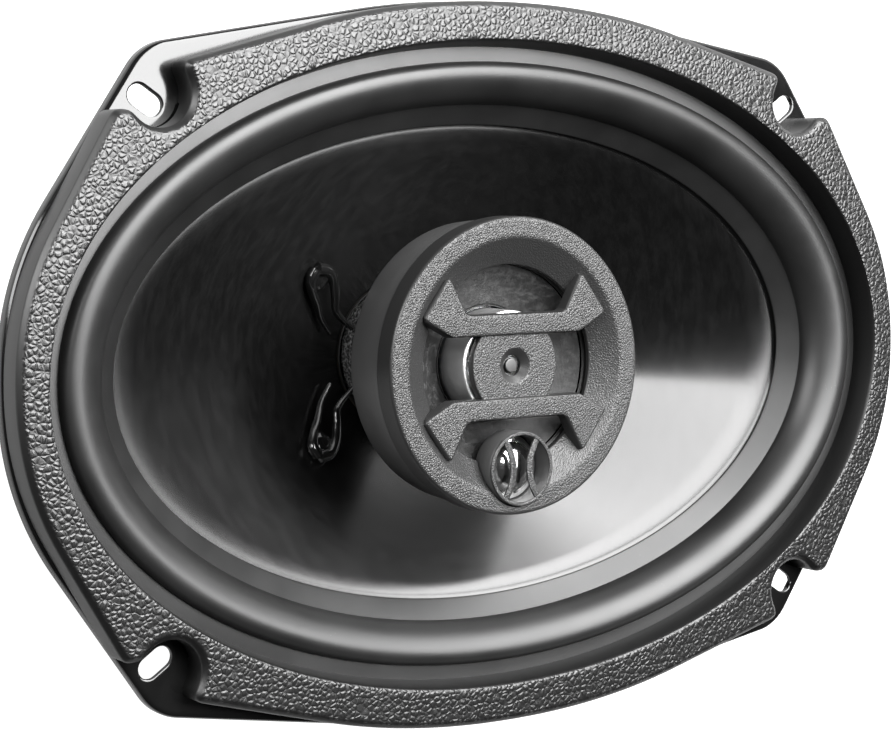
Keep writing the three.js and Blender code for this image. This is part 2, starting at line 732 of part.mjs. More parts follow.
const nutFlat = new THREE.Shape();
for (let i = 0; i < 6; i++) {
  const angle = (Math.PI / 3) * i;
  const cornerRadius = nutAcrossFlats / Math.sqrt(3);
  const place = [cornerRadius * Math.cos(angle), cornerRadius * Math.sin(angle)];
  if (i === 0) nutFlat.moveTo(...place);
  else nutFlat.lineTo(...place);
}
const studFoot = nutRecessDepth - washerThickness - nutHeight - 0.8;
const washerTop = nutRecessDepth;
add("stud_washer", "zincSteel", ring(4.5, studHole, washerTop - washerThickness, washerTop, 24));
const nutBottom = washerTop - washerThickness - nutHeight;
add("stud_nut", "zincSteel",
  cut(plate(nutFlat, nutBottom, washerTop - washerThickness), [disc(studHole, 0, nutRecessDepth, 20)]));
add("centre_stud", "zincSteel", turned([
  [0, studFoot],
  [studRadius - 0.4, studFoot],
  [studRadius, studFoot + 0.4],
  [studRadius, flangeTop + studEnd - 0.4],
  [studRadius - 0.4, flangeTop + studEnd],
  [0, flangeTop + studEnd],
], 20));

const feedHoleRadius = 1.6;
add("post_housing", "greyPlastic", cut(turned([
  [studHole, housingBack],
  [housingBackRadius - 1, housingBack],
  [housingBackRadius, housingBack + 1],
  [housingFrontRadius, bezelFloor],
  [housingFrontRadius - housingWall, bezelFloor],
  [housingBackRadius - housingWall, housingBack + housingWall],
  [studHole, housingBack + housingWall],
], 32), [-1, 1].map((side) =>
  moved(disc(feedHoleRadius, housingBack - 2, housingBack + 4, 12), -stemRadius - 3, side * 6, 0))));

// One bow-tie bar: a straight middle with a wing swept outwards at each end.
function barShape(side) {
  const shape = new THREE.Shape();
  const notchX = 0.525 * barHalfLength;
  const tipX = 0.71 * barHalfLength;
  const half = [
    [0, barInner],
    [tipX - 0.2, barInner],
    [barHalfLength - 0.6, barOuter - 1.2],
    [barHalfLength - 0.2, barOuter],
    [tipX + 1.2, barWingReach - 0.3],
    [tipX, barWingReach],
    [notchX + 0.6, barOuter + 0.6],
    [notchX - 0.6, barOuter],
    [0, barOuter],
  ];
  const mirrored = half.slice(1, -1).map(([x, y]) => [-x, y]);
  const outline = [...half, ...mirrored.reverse()].map(([x, y]) => new THREE.Vector2(x, side * y));
  shape.setFromPoints(outline);
  return shape;
}

const podCentre = [0, -podOffset];

function bezelGeometry() {
  const top = flangeTop + bezelTop;
  const mouth = flangeTop + mouthTop;
  const rim = turned([
    [housingFrontRadius - housingWall - 2, bezelFloor],
    [bezelRadius, bezelFloor],
    [bezelRadius, top - 1],
    [bezelRadius - 0.3, top - 0.3],
    [bezelRadius - 1, top],
    [bezelLipRadius, top],
    [bezelMouthRadius, mouth],
    [bezelMouthRadius, mouth - 1.2],
  ], 40);
  const hubFace = flangeTop + hubTop;
  const hub = turned([
    [hubHoleRadius, hubFace - hubThickness],
    [hubRadius, hubFace - hubThickness],
    [hubRadius, hubFace - 0.4],
    [hubRadius - 0.4, hubFace],
    [countersinkRadius, hubFace],
    [hubHoleRadius, hubFace - countersinkDepth],
  ]);
  const bars = [1, -1].map((side) => plate(barShape(side), top - barThickness, top - 0.2));
  const pod = moved(disc(podRadius + loose, flangeTop, top + 3, 24), ...podCentre, 0);
  return cut(join([rim, hub, ...bars]), [pod]);
}

add("bezel", "greyPlastic", bezelGeometry());

// ---------- Midrange driver ----------

const midFloor = housingBack + housingWall;
const midYokeInner = midCoilRadius + 1.5;
const midYokeRadius = midYokeInner + 2;
const midYokeTop = midFloor + 4.8;
const midPoleTop = midFloor + 5.4;
const midMagnetFoot = midFloor + 1.2;
const midMagnetTop = midMagnetFoot + 2.4;
const midRimTop = bezelFloor - 0.9;

add("mid_yoke", "zincSteel", turned([
  [studHole, midFloor],
  [midYokeRadius, midFloor],
  [midYokeRadius, midYokeTop],
  [midYokeInner, midYokeTop],
  [midYokeInner, midMagnetFoot],
  [studHole, midMagnetFoot],
]));
add("mid_magnet", "zincSteel", ring(midSleeveRadius - 0.9, studHole + 1, midMagnetFoot, midMagnetTop));
add("mid_pole_plate", "zincSteel", ring(midSleeveRadius, studHole, midMagnetTop, midPoleTop));
add("mid_sleeve", "chrome", turned([
  [midSleeveRadius - 1, midPoleTop],
  [midSleeveRadius, midPoleTop],
  [midSleeveRadius, flangeTop + bezelTop - barThickness - 0.6],
  [midSleeveRadius - 0.6, flangeTop + bezelTop - barThickness],
  [midSleeveRadius - 1, flangeTop + bezelTop - barThickness],
], 32));

const midConeEdge = bezelMouthRadius - 0.4;
const midNeckRadius = midCoilRadius + 0.25 + fit;
const midNeckTop = midPoleTop - 0.3;
const midConeEdgeTop = midRimTop - 0.3;
add("mid_cone", "paper", sweep(sheetLoop([
  { outline: circle(midConeEdge), z: midConeEdgeTop },
  { outline: circle((midConeEdge + midNeckRadius) / 2), z: (midConeEdgeTop + midNeckTop) / 2 - 0.3 },
  { outline: circle(midNeckRadius), z: midNeckTop },
], 0.4), { steps: roundSteps }));
add("mid_former", "film", ring(midCoilRadius + 0.25, midCoilRadius, midFloor + 2.4, midNeckTop));
add("mid_winding", "copper", ring(midCoilRadius + 0.75, midCoilRadius + 0.27, midFloor + 2.6, midFloor + 4.2));
add("mid_surround", "rubber", sweep(sheetLoop([
  { outline: circle(midConeEdge + 4.4), z: midRimTop + 0.4 },
  { outline: circle(midConeEdge + 2.4), z: midRimTop + 0.4 },
  { outline: circle(midConeEdge + 1.2), z: midRimTop + 0.7 },
  { outline: circle(midConeEdge + 0.05), z: midRimTop + 0.1 },
], 0.4), { steps: roundSteps }));
add("mid_frame", "blackPaint", sweep(sheetLoop([
  { outline: circle(housingFrontRadius - housingWall - 0.4), z: midRimTop },
  { outline: circle(midConeEdge + 1.8), z: midRimTop },
  { outline: circle(midConeEdge + 1.2), z: midRimTop - 2.4 },
  { outline: circle(midYokeRadius + 0.9), z: midYokeTop - 1 },
  { outline: circle(midYokeRadius + 0.9), z: midFloor + 0.7 },
], 0.8), { steps: roundSteps }));

// ---------- Supertweeter ----------

function addPod(name, look, geometry) {
  add(name, look, moved(geometry, ...podCentre, 0));
}

const podFloor = flangeTop + podBase;
const podFace = flangeTop + podTop;
addPod("supertweeter_shell", "greyPlastic", turned([
  [0, podFloor],
  [podRadius, podFloor],
  [podRadius, podFace],
  [podRadius - podWall, podFace],
  [podRadius - podWall, podFloor + 0.6],
  [0, podFloor + 0.6],
], 24));
addPod("supertweeter_piezo", "brass", disc(podRadius - podWall - loose, podFloor + 0.6, podFloor + 1.2, 24));
const domeFoot = podFloor + 1.5;
const domeRadius = podRadius - podWall - 1.4;
addPod("supertweeter_dome", "chrome", turned([
  [0, domeFoot + 2.6],
  [0.55 * domeRadius, domeFoot + 1.9],
  [domeRadius - 0.7, domeFoot],
  [domeRadius, domeFoot],
  [domeRadius, domeFoot + 0.4],
  [0.58 * domeRadius, domeFoot + 2.4],
  [0, domeFoot + 3.1],
], 24));

function grilleGeometry() {
  const outer = ring(podRadius, podRadius - 0.8, podFace, flangeTop + podRingTop, 24);
  const struts = [-1, 1].map((side) => {
    const shape = new THREE.Shape();
    const middle = 0.26 * podRadius;
    const end = 0.52 * podRadius;
    const bend = 0.38 * podRadius;
    const tip = 0.75 * podRadius;
    const half = 0.65;
    shape.moveTo(side * (middle - half), -bend);
    shape.lineTo(side * (end - half), -tip);
    shape.lineTo(side * (end + half), -tip);
    shape.lineTo(side * (middle + half), -bend);
    shape.lineTo(side * (middle + half), bend);
    shape.lineTo(side * (end + half), tip);
    shape.lineTo(side * (end - half), tip);
    shape.lineTo(side * (middle - half), bend);
    shape.closePath();
    return plate(shape, podFace, podFace + 0.5);
  });
  return join([outer, ...struts]);
}

addPod("supertweeter_grille", "greyPlastic", grilleGeometry());

export default speaker;
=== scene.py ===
"""Looks of a 6 x 9 inch three-way coaxial car speaker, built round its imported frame.

Sizes in the classes are millimetres, in the frame's own axes: +Z is the way the speaker
faces, +X its long axis, and the magnet's back stands on the floor. Meshes are in metres.
"""

import logging
import math
from dataclasses import dataclass, field
from enum import Enum
from typing import Callable, NamedTuple, Optional, Sequence

import bmesh
import bpy
import numpy as np
from mathutils import Matrix, Vector
from mathutils.geometry import delaunay_2d_cdt


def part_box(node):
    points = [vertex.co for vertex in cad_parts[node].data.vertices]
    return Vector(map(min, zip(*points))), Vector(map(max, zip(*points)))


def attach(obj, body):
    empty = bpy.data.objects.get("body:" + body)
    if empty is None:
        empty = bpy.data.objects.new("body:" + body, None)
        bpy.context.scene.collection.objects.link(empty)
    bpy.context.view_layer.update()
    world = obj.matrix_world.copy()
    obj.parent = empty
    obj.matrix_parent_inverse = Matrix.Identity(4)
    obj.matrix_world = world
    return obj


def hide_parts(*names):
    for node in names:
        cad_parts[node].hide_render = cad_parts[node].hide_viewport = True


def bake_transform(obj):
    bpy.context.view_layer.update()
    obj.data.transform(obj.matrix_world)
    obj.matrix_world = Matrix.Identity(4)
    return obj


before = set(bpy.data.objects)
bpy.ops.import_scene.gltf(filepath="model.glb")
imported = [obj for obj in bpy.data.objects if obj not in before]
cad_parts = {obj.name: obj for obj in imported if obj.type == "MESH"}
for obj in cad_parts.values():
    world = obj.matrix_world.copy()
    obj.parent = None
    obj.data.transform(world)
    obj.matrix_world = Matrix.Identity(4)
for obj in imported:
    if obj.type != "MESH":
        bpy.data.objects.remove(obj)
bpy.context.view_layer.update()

log = logging.getLogger("speaker")

MM = 0.001
TURN = 2 * math.pi
SHARP_DEG = 42.0
HANDS = (("positive", 1), ("negative", -1))

Outline = Callable[[np.ndarray], np.ndarray]
Point = tuple[float, float, float]
Section = Sequence[tuple]  # corners as (outline or radius, height) or (outline or radius, height, rounding)


# ---------- Plan outlines ----------


def oval(half_x: float, half_y: float, power: float = 2.0) -> Outline:
    """A superellipse as a radius for each plan angle.

    Args:
        half_x: Half its length along X.
        half_y: Half its width along Y.
        power: 2 is an ellipse, and more is squarer.

    Returns:
        The outline.
    """
    return lambda angle: (
        np.abs(np.cos(angle) / half_x) ** power + np.abs(np.sin(angle) / half_y) ** power
    ) ** (-1 / power)


def circle(radius: float) -> Outline:
    """A circle as an outline."""
    return lambda angle: np.full(np.shape(angle), float(radius))


def grown(outline: Outline, by: float) -> Outline:
    """An outline moved outwards."""
    return lambda angle: outline(angle) + by


def mixed(start: Outline, end: Outline, share: float) -> Outline:
    """An outline part of the way between two others."""
    return lambda angle: start(angle) * (1 - share) + end(angle) * share


def plan_loop(outline: Outline, steps: int) -> np.ndarray:
    """The points of an outline, anticlockwise."""
    angle = np.arange(steps) * TURN / steps
    radius = outline(angle)
    return np.stack([radius * np.cos(angle), radius * np.sin(angle)], axis=-1)


def convex_hull(points: np.ndarray) -> np.ndarray:
    """The convex hull of plan points, anticlockwise.

    Args:
        points: Rows of x and y.

    Returns:
        The hull's corners.
    """
    rows = sorted(map(tuple, points))
    halves = []
    for ordered in (rows, rows[::-1]):
        chain: list[tuple[float, float]] = []
        for p in ordered:
            while len(chain) > 1:
                (ax, ay), (bx, by) = chain[-2], chain[-1]
                if (bx - ax) * (p[1] - ay) - (by - ay) * (p[0] - ax) > 1e-9:
                    break
                chain.pop()
            chain.append(p)
        halves += chain[:-1]
    return np.array(halves)


def resampled(loop: np.ndarray, spacing: float, rounds: int = 0) -> np.ndarray:
    """A closed loop with evenly spaced points and softened corners.

    Args:
        loop: The loop's points.
        spacing: About how far apart the new points lie.
        rounds: How many times the corners are averaged.

    Returns:
        The new loop.
    """
    closed = np.vstack([loop, loop[:1]])
    run = np.concatenate([[0], np.cumsum(np.linalg.norm(np.diff(closed, axis=0), axis=1))])
    count = max(8, round(run[-1] / spacing))
    at = np.arange(count) * run[-1] / count
    made = np.stack([np.interp(at, run, closed[:, k]) for k in (0, 1)], axis=-1)
    for _ in range(rounds):
        made = (np.roll(made, 1, 0) + 2 * made + np.roll(made, -1, 0)) / 4
    return made


def loop_distance(points: np.ndarray, loop: np.ndarray) -> np.ndarray:
    """How far plan points lie from a closed loop."""
    start, end = loop, np.roll(loop, -1, 0)
    edge = end - start
    nearest = []
    for part in np.array_split(points, max(1, len(points) // 500)):
        offset = part[:, None] - start[None]
        share = np.clip((offset * edge).sum(-1) / (edge**2).sum(-1), 0, 1)
        gap = offset - share[..., None] * edge
        nearest.append(np.sqrt((gap**2).sum(-1).min(1)))
    return np.concatenate(nearest)


def inside_loop(points: np.ndarray, loop: np.ndarray) -> np.ndarray:
    """Which plan points lie inside a closed loop."""
    start, end = loop, np.roll(loop, -1, 0)
    y = points[:, 1:2]
    spans = (start[:, 1] > y) != (end[:, 1] > y)
    rise = np.where(end[:, 1] == start[:, 1], 1e-12, end[:, 1] - start[:, 1])
    crossing = start[:, 0] + (y - start[:, 1]) / rise * (end[:, 0] - start[:, 0])
    return (spans & (crossing > points[:, :1])).sum(1) % 2 == 1


def inset_rows(loop: np.ndarray, depths: Sequence[float], inwards: bool) -> np.ndarray:
    """Rows of points beside a loop, for a surface that bends near its edge.

    Args:
        loop: A closed anticlockwise loop.
        depths: How far from the loop each row lies.
        inwards: True where the surface is inside the loop.

    Returns:
        All the rows' points that no other part of the loop is nearer to.
    """
    along = np.roll(loop, -1, 0) - np.roll(loop, 1, 0)
    normal = np.stack([-along[:, 1], along[:, 0]], -1)
    normal /= np.linalg.norm(normal, axis=1, keepdims=True)
    rows = []
    for depth in depths:
        row = loop + normal * (depth if inwards else -depth)
        rows.append(row[loop_distance(row, loop) > 0.97 * depth])
    return np.vstack(rows)


# ---------- Meshes ----------


def linked(name: str, data: bpy.types.ID) -> bpy.types.Object:
    """A new object in the scene that holds some data."""
    obj = bpy.data.objects.new(name, data)
    bpy.context.scene.collection.objects.link(obj)
    return obj


def plain_mesh(name: str, verts: np.ndarray, faces: Sequence) -> bpy.types.Mesh:
    """A mesh from points in millimetres and each face's vertex indices."""
    mesh = bpy.data.meshes.new(name)
    mesh.from_pydata((np.asarray(verts, float) * MM).tolist(), [], [tuple(map(int, f)) for f in faces])
    return mesh


def new_object(name: str, verts: np.ndarray, faces: list) -> bpy.types.Object:
    """An object from points in millimetres, with smooth shading and outward faces.

    Args:
        name: The piece's name.
        verts: Rows of x, y and z in millimetres.
        faces: Each face's vertex indices.

    Returns:
        The linked object, at the origin.
    """
    obj = linked(name, plain_mesh(name, verts, faces))
    tidy_mesh(obj)
    return obj


def mark_sharp(mesh: bpy.types.Mesh, sharp_deg: float = SHARP_DEG) -> None:
    """Shades a mesh smooth, except across the edges that bend more than an angle."""
    mesh.shade_smooth()
    mesh.set_sharp_from_angle(angle=math.radians(sharp_deg))


def tidy_mesh(obj: bpy.types.Object, sharp_deg: float = SHARP_DEG) -> None:
    """Merges doubles, turns faces outwards and marks the sharp edges of an object's mesh."""
    work = bmesh.new()
    work.from_mesh(obj.data)
    bmesh.ops.remove_doubles(work, verts=work.verts, dist=2e-6)
    bmesh.ops.dissolve_degenerate(work, edges=work.edges, dist=1e-7)
    bmesh.ops.recalc_face_normals(work, faces=work.faces)
    work.to_mesh(obj.data)
    work.free()
    mark_sharp(obj.data, sharp_deg)


def apply_modifiers(obj: bpy.types.Object) -> None:
    """Turns an object's modifiers into plain mesh."""
    graph = bpy.context.evaluated_depsgraph_get()
    made = bpy.data.meshes.new_from_object(obj.evaluated_get(graph))
    old = obj.data
    obj.modifiers.clear()
    obj.data = made
    bpy.data.meshes.remove(old)
    made.name = obj.name


def settle(obj: bpy.types.Object, sharp_deg: float = SHARP_DEG) -> bpy.types.Object:
    """Turns an object's modifiers into a clean mesh."""
    apply_modifiers(obj)
    tidy_mesh(obj, sharp_deg)
    return obj


def flat_faces(obj: bpy.types.Object) -> None:
    """Weights an object's normals by face area, so that large faces stay flat beside their bevels."""
    step = obj.modifiers.new("flat_faces", "WEIGHTED_NORMAL")
    step.keep_sharp = True
    step.weight = 80
    apply_modifiers(obj)


def combine(
    obj: bpy.types.Object, others: Sequence[bpy.types.Object], operation: str = "UNION"
) -> bpy.types.Object:
    """Adds other solids to an object or takes them away, and removes them.

    Args:
        obj: The solid that stays.
        others: The solids that are used up.
        operation: "UNION", "DIFFERENCE" or "INTERSECT".

    Returns:
        The changed object.
    """
    for other in others:
        step = obj.modifiers.new("combine", "BOOLEAN")
        step.operation = operation
        step.solver = "EXACT"
        step.object = other
    settle(obj)
    for other in others:
        bpy.data.objects.remove(other)
    return obj


def rows_object(name: str, rows: np.ndarray, loop: bool = True) -> bpy.types.Object:
    """A closed surface through a grid of points that goes once round its first axis.

    Args:
        name: The piece's name.
        rows: Points as (round, along, xyz), in millimetres.
        loop: True where each row along closes on itself too.

    Returns:
        The object.
    """
    turns, count = rows.shape[:2]
    index = np.arange(turns * count).reshape(turns, count)
    across = count if loop else count - 1
    faces = [
        (index[i, j], index[(i + 1) % turns, j],
         index[(i + 1) % turns, (j + 1) % count], index[i, (j + 1) % count])
        for i in range(turns) for j in range(across)
    ]
    return new_object(name, rows.reshape(-1, 3), faces)


class Corner(NamedTuple):
    """One corner of a section: an outline, a height, and how round it is."""

    outline: Outline
    height: float
    rounding: float = 0.0


def as_corners(section: Section) -> list[Corner]:
    """A section's corners, with each plain radius turned into a circle."""
    return [Corner(c[0] if callable(c[0]) else circle(c[0]), *c[1:]) for c in section]


def ring_section(inner: float, outer: float, foot: float, top: float, edges: Sequence[float]) -> list[tuple]:
    """The section of a plain ring.

    Args:
        inner: The ring's inner radius, or 0 for a disc.
        outer: Its outer radius.
        foot: The level of its lower face.
        top: The level of its upper face.
        edges: The roundings of its inner foot, outer foot, outer top and inner top.

    Returns:
        The four corners.
    """
    return list(zip((inner, outer, outer, inner), (foot, foot, top, top), edges))


def section_rows(section: Section, steps: int, loop: bool = True, cuts: int = 4) -> np.ndarray:
    """The points of a section with rounded corners, swept once round Z.

    Args:
        section: The section's corners in order.
        steps: How many turns of the sweep.
        loop: True where the section closes on itself.
        cuts: How many spans each rounded corner gets.

    Returns:
        Points as (round, along, xyz), in millimetres.
    """
    angle = np.arange(steps) * TURN / steps
    corners = as_corners(section)
    stations = [np.stack([c.outline(angle), np.full(steps, c.height)], -1) for c in corners]
    rounded = []
    for i, corner in enumerate(corners):
        here = stations[i]
        end_of_open = not loop and i in (0, len(corners) - 1)
        if corner.rounding <= 0 or end_of_open:
            rounded.append(here)
            continue
        before, after = stations[i - 1], stations[(i + 1) % len(stations)]
        legs = []
        for other in (before, after):
            leg = other - here
            length = np.linalg.norm(leg, axis=-1, keepdims=True)
            legs.append(leg / length * np.minimum(corner.rounding, 0.48 * length))
        for k in range(cuts + 1):
            t = k / cuts
            rounded.append(here + legs[0] * (1 - t) ** 2 + legs[1] * t**2)
    ring = np.stack(rounded, axis=1)
    x = ring[..., 0] * np.cos(angle)[:, None]
    y = ring[..., 0] * np.sin(angle)[:, None]
    return np.stack([x, y, ring[..., 1]], -1)


def swept(name: str, section: Section, steps: int, loop: bool = True, cuts: int = 4) -> bpy.types.Object:
    """A rounded section swept once round Z as an object."""
    return rows_object(name, section_rows(section, steps, loop, cuts), loop)


def sheet_section(line: Section, thickness: float) -> list[Corner]:
    """The closed section of a sheet whose upper side runs through a line of corners.

    Args:
        line: The upper side, from outside to inside.
        thickness: The sheet's thickness.

    Returns:
        The loop of corners, with its two ends rounded.
    """
    def reach(corner: Corner) -> float:
        """A corner's mean distance from the axis."""
        return float(corner.outline(np.array([0.0, math.pi / 2])).mean())

    upper = as_corners(line)
    lower = []
    for i, corner in enumerate(upper):
        before, after = upper[max(i - 1, 0)], upper[min(i + 1, len(upper) - 1)]
        run, rise = reach(after) - reach(before), after.height - before.height
        scale = thickness / math.hypot(run, rise)
        below = grown(corner.outline, -rise * scale)
        lower.append(Corner(below, corner.height + run * scale, corner.rounding))
    loop = [*upper, *lower[::-1]]
    for i in (0, len(upper) - 1, len(upper), len(loop) - 1):
        loop[i] = loop[i]._replace(rounding=0.45 * thickness)
    return loop


def relief(
    name: str,
    outer: np.ndarray,
    holes: Sequence[np.ndarray],
    edge_rows: Sequence[float],
    hole_rows: Sequence[float],
    spacing: float,
    top: Callable[[np.ndarray], np.ndarray],
    bottom: Callable[[np.ndarray], np.ndarray],
) -> bpy.types.Object:
    """A plate between an outer loop and holes, whose faces follow height functions.

    Args:
        name: The piece's name.
        outer: The outer loop, anticlockwise.
        holes: The loops of its holes, anticlockwise.
        edge_rows: Depths of the rows of points that follow the outer loop.
        hole_rows: Depths of the rows of points that follow each hole.
        spacing: About how far apart the other points lie.
        top: Heights of the upper face for plan points.
        bottom: Heights of the lower face for plan points.

    Returns:
        The object.
    """
    rows = [outer, *holes]
    extra = [inset_rows(outer, edge_rows, True)]
    extra += [inset_rows(hole, hole_rows, False) for hole in holes]
    spans = [np.arange(outer[:, k].min(), outer[:, k].max(), spacing) for k in (0, 1)]
    grid = np.stack(np.meshgrid(*spans), -1).reshape(-1, 2)
    grid[:, 0] += np.where(np.round(grid[:, 1] / spacing) % 2 == 0, 0, spacing / 2)
    keep = loop_distance(grid, outer) > max(edge_rows) + 0.5 * spacing
    for hole in holes:
        keep &= ~inside_loop(grid, hole) & (loop_distance(grid, hole) > max(hole_rows) + 0.5 * spacing)
    extra.append(grid[keep])
    inner = np.vstack(extra)
    inner = inner[inside_loop(inner, outer)]
    for hole in holes:
        inner = inner[~inside_loop(inner, hole)]
    points = np.vstack([*rows, inner])
    edges, first = [], 0
    for row in rows:
        edges += [(first + i, first + (i + 1) % len(row)) for i in range(len(row))]
        first += len(row)
    plan, _, faces, *_ = delaunay_2d_cdt([Vector(p) for p in points], edges, [], 0, 1e-5)
    plan = np.array([tuple(p) for p in plan])
    faces = np.array([tuple(f) for f in faces])
    middle = plan[faces].mean(1)
    solid = inside_loop(middle, outer)
    for hole in holes:
        solid &= ~inside_loop(middle, hole)
    faces = faces[solid]
    a, b, c = (plan[faces[:, k]] for k in range(3))
    clockwise = (b[:, 0] - a[:, 0]) * (c[:, 1] - a[:, 1]) - (b[:, 1] - a[:, 1]) * (c[:, 0] - a[:, 0]) < 0
    faces[clockwise] = faces[clockwise][:, ::-1]
    count = len(plan)
    sides = {(f[k], f[(k + 1) % 3]): None for f in faces.tolist() for k in range(3)}
    walls = [(p + count, q + count, q, p) for p, q in sides if (q, p) not in sides]
    verts = [np.column_stack([plan, height(plan)]) for height in (top, bottom)]
    return new_object(name, np.vstack(verts), [*faces, *(faces[:, ::-1] + count), *walls])


def tube(name: str, path: np.ndarray, radii: np.ndarray, sides: int = 14) -> bpy.types.Object:
    """A round strand along a path, with closed ends.

    Args:
        name: The piece's name.
        path: The points that its middle follows.
        radii: Its radius at each point.
        sides: How many sides its section has.

    Returns:
        The object.
    """
    tangent = np.gradient(path, axis=0)
    tangent /= np.linalg.norm(tangent, axis=1, keepdims=True)
    side = np.cross(tangent[0], (0, 0, 1))
    frames = []
    for t in tangent:
        side = side - t * side.dot(t)
        side /= np.linalg.norm(side)
        frames.append((side, np.cross(t, side)))
    turn = np.arange(sides) * TURN / sides
    rings = [
        p + r * (np.cos(turn)[:, None] * u + np.sin(turn)[:, None] * v)
        for p, r, (u, v) in zip(path, radii, frames)
    ]
    verts = np.vstack([*rings, path[:1], path[-1:]])
    last = (len(path) - 1) * sides
    tip = len(path) * sides
    pairs = [(j, (j + 1) % sides) for j in range(sides)]
    faces = [(i + j, i + k, i + sides + k, i + sides + j) for i in range(0, last, sides) for j, k in pairs]
    for j, k in pairs:
        faces += [(tip, k, j), (tip + 1, last + j, last + k)]
    return new_object(name, verts, faces)


def smooth_path(points: Sequence[Sequence[float]], count: int) -> np.ndarray:
    """A Catmull-Rom curve through a few points.

    Args:
        points: The points to pass through.
        count: How many points the result has.

    Returns:
        The curve's points, evenly spaced in the curve's own parameter.
    """
    given = np.array(points, float)
    padded = np.vstack([2 * given[0] - given[1], given, 2 * given[-1] - given[-2]])
    at = np.linspace(0, len(given) - 1, count)
    span = np.minimum(at.astype(int), len(given) - 2)
    t = (at - span)[:, None]
    a, b, c, d = (padded[span + k] for k in range(4))
    return 0.5 * (2 * b + (c - a) * t + (2 * a - 5 * b + 4 * c - d) * t**2 + (3 * b - a - 3 * c + d) * t**3)


def prism(name: str, loop: np.ndarray, bottom: float, top: float) -> bpy.types.Object:
    """An upright prism over a plan loop."""
    count = len(loop)
    verts = np.vstack([np.column_stack([loop, np.full(count, z)]) for z in (bottom, top)])
    faces = [tuple(range(count))[::-1], tuple(range(count, 2 * count))]
    faces += [(i, (i + 1) % count, count + (i + 1) % count, count + i) for i in range(count)]
    return new_object(name, verts, faces)


def bevel_where(
    obj: bpy.types.Object, chosen: Callable[[Vector, Vector], bool], width: float, cuts: int
) -> None:
    """Bevels the sharp edges that a test picks.

    Args:
        obj: The piece.
        chosen: Says from an edge's two ends, in millimetres, whether it is bevelled.
        width: The bevel's width.
        cuts: How many spans the bevel has.
    """
    work = bmesh.new()
    work.from_mesh(obj.data)
    edges = [
        e for e in work.edges
        if len(e.link_faces) == 2 and e.calc_face_angle(0) > 0.5
        and chosen(e.verts[0].co / MM, e.verts[1].co / MM)
    ]
    bmesh.ops.bevel(
        work, geom=edges, offset=width * MM, segments=cuts, profile=0.5, affect="EDGES",
        clamp_overlap=True,
    )
    work.to_mesh(obj.data)
    work.free()
    tidy_mesh(obj)


# ---------- Shader helpers and groups ----------


class Shader:
    """Adds nodes to a material or a shader node group."""

    def __init__(self, tree: bpy.types.NodeTree) -> None:
        """Starts on a tree."""
        self.tree = tree

    def add(self, kind: str, settings: Optional[dict] = None, **inputs: object) -> bpy.types.Node:
        """Adds a node.

        Args:
            kind: The node's type name.
            settings: Values of the node's own properties.
            **inputs: Values or sockets for its inputs, with _ for a space in the name.

        Returns:
            The node.
        """
        node = self.tree.nodes.new(kind)
        for key, value in (settings or {}).items():
            setattr(node, key, value)
        return self.put(node, **inputs)

    def put(self, node: bpy.types.Node, **inputs: object) -> bpy.types.Node:
        """Feeds a node's inputs by name, with _ for a space in the name."""
        for key, value in inputs.items():
            self.feed(node.inputs[key.replace("_", " ")], value)
        return node

    def feed(self, socket: bpy.types.NodeSocket, value: object) -> None:
        """Links a socket into another, or sets its value."""
        if isinstance(value, bpy.types.NodeSocket):
            self.tree.links.new(value, socket)
        else:
            socket.default_value = value

    def math(self, operation: str, *values: object) -> bpy.types.NodeSocket:
        """The output of a Math node fed by up to three values."""
        node = self.add("ShaderNodeMath", {"operation": operation})
        for socket, value in zip(node.inputs, values):
            self.feed(socket, value)
        return node.outputs[0]

    def vector(self, operation: str, *values: object, **inputs: object) -> bpy.types.NodeSocket:
        """The output of a Vector Math node fed by up to two vectors."""
        node = self.add("ShaderNodeVectorMath", {"operation": operation}, **inputs)
        for socket, value in zip(node.inputs, values):
            self.feed(socket, value)
        return node.outputs[0]

    def radius(self, x: object, y: object) -> bpy.types.NodeSocket:
        """The distance from an axis along Z."""
        return self.math("SQRT", self.math("ADD", self.math("POWER", x, 2.0), self.math("POWER", y, 2.0)))

    def span(
        self, value: object, low: object, high: object, to_low: float = 0.0, to_high: float = 1.0
    ) -> bpy.types.NodeSocket:
        """A value moved from one span to another, smoothly, and held inside it."""
        ends = {"From_Min": low, "From_Max": high, "To_Min": to_low, "To_Max": to_high}
        return self.add("ShaderNodeMapRange", {"interpolation_type": "SMOOTHSTEP"}, Value=value, **ends).outputs[0]

    def noise(
        self, place: object, scale: object, detail: float = 3.0, roughness: float = 0.55
    ) -> bpy.types.NodeSocket:
        """The value of a Noise Texture at a place."""
        node = self.add("ShaderNodeTexNoise", None, Vector=place, Scale=scale, Detail=detail, Roughness=roughness)
        return node.outputs["Fac"]

    def cells(self, feature: str, place: object, scale: object) -> bpy.types.NodeSocket:
        """The distance of a Voronoi Texture at a place."""
        node = self.add("ShaderNodeTexVoronoi", {"feature": feature}, Vector=place, Scale=scale)
        return node.outputs["Distance"]

    def mix(self, factor: object, first: object, second: object) -> bpy.types.NodeSocket:
        """A colour between two others."""
        node = self.add("ShaderNodeMix", {"data_type": "RGBA"}, Factor=factor, A=first, B=second)
        return node.outputs["Result"]

    def group(self, tree: bpy.types.NodeTree, **inputs: object) -> bpy.types.Node:
        """Adds a shader node group with its inputs set."""
        return self.add("ShaderNodeGroup", {"node_tree": tree}, **inputs)


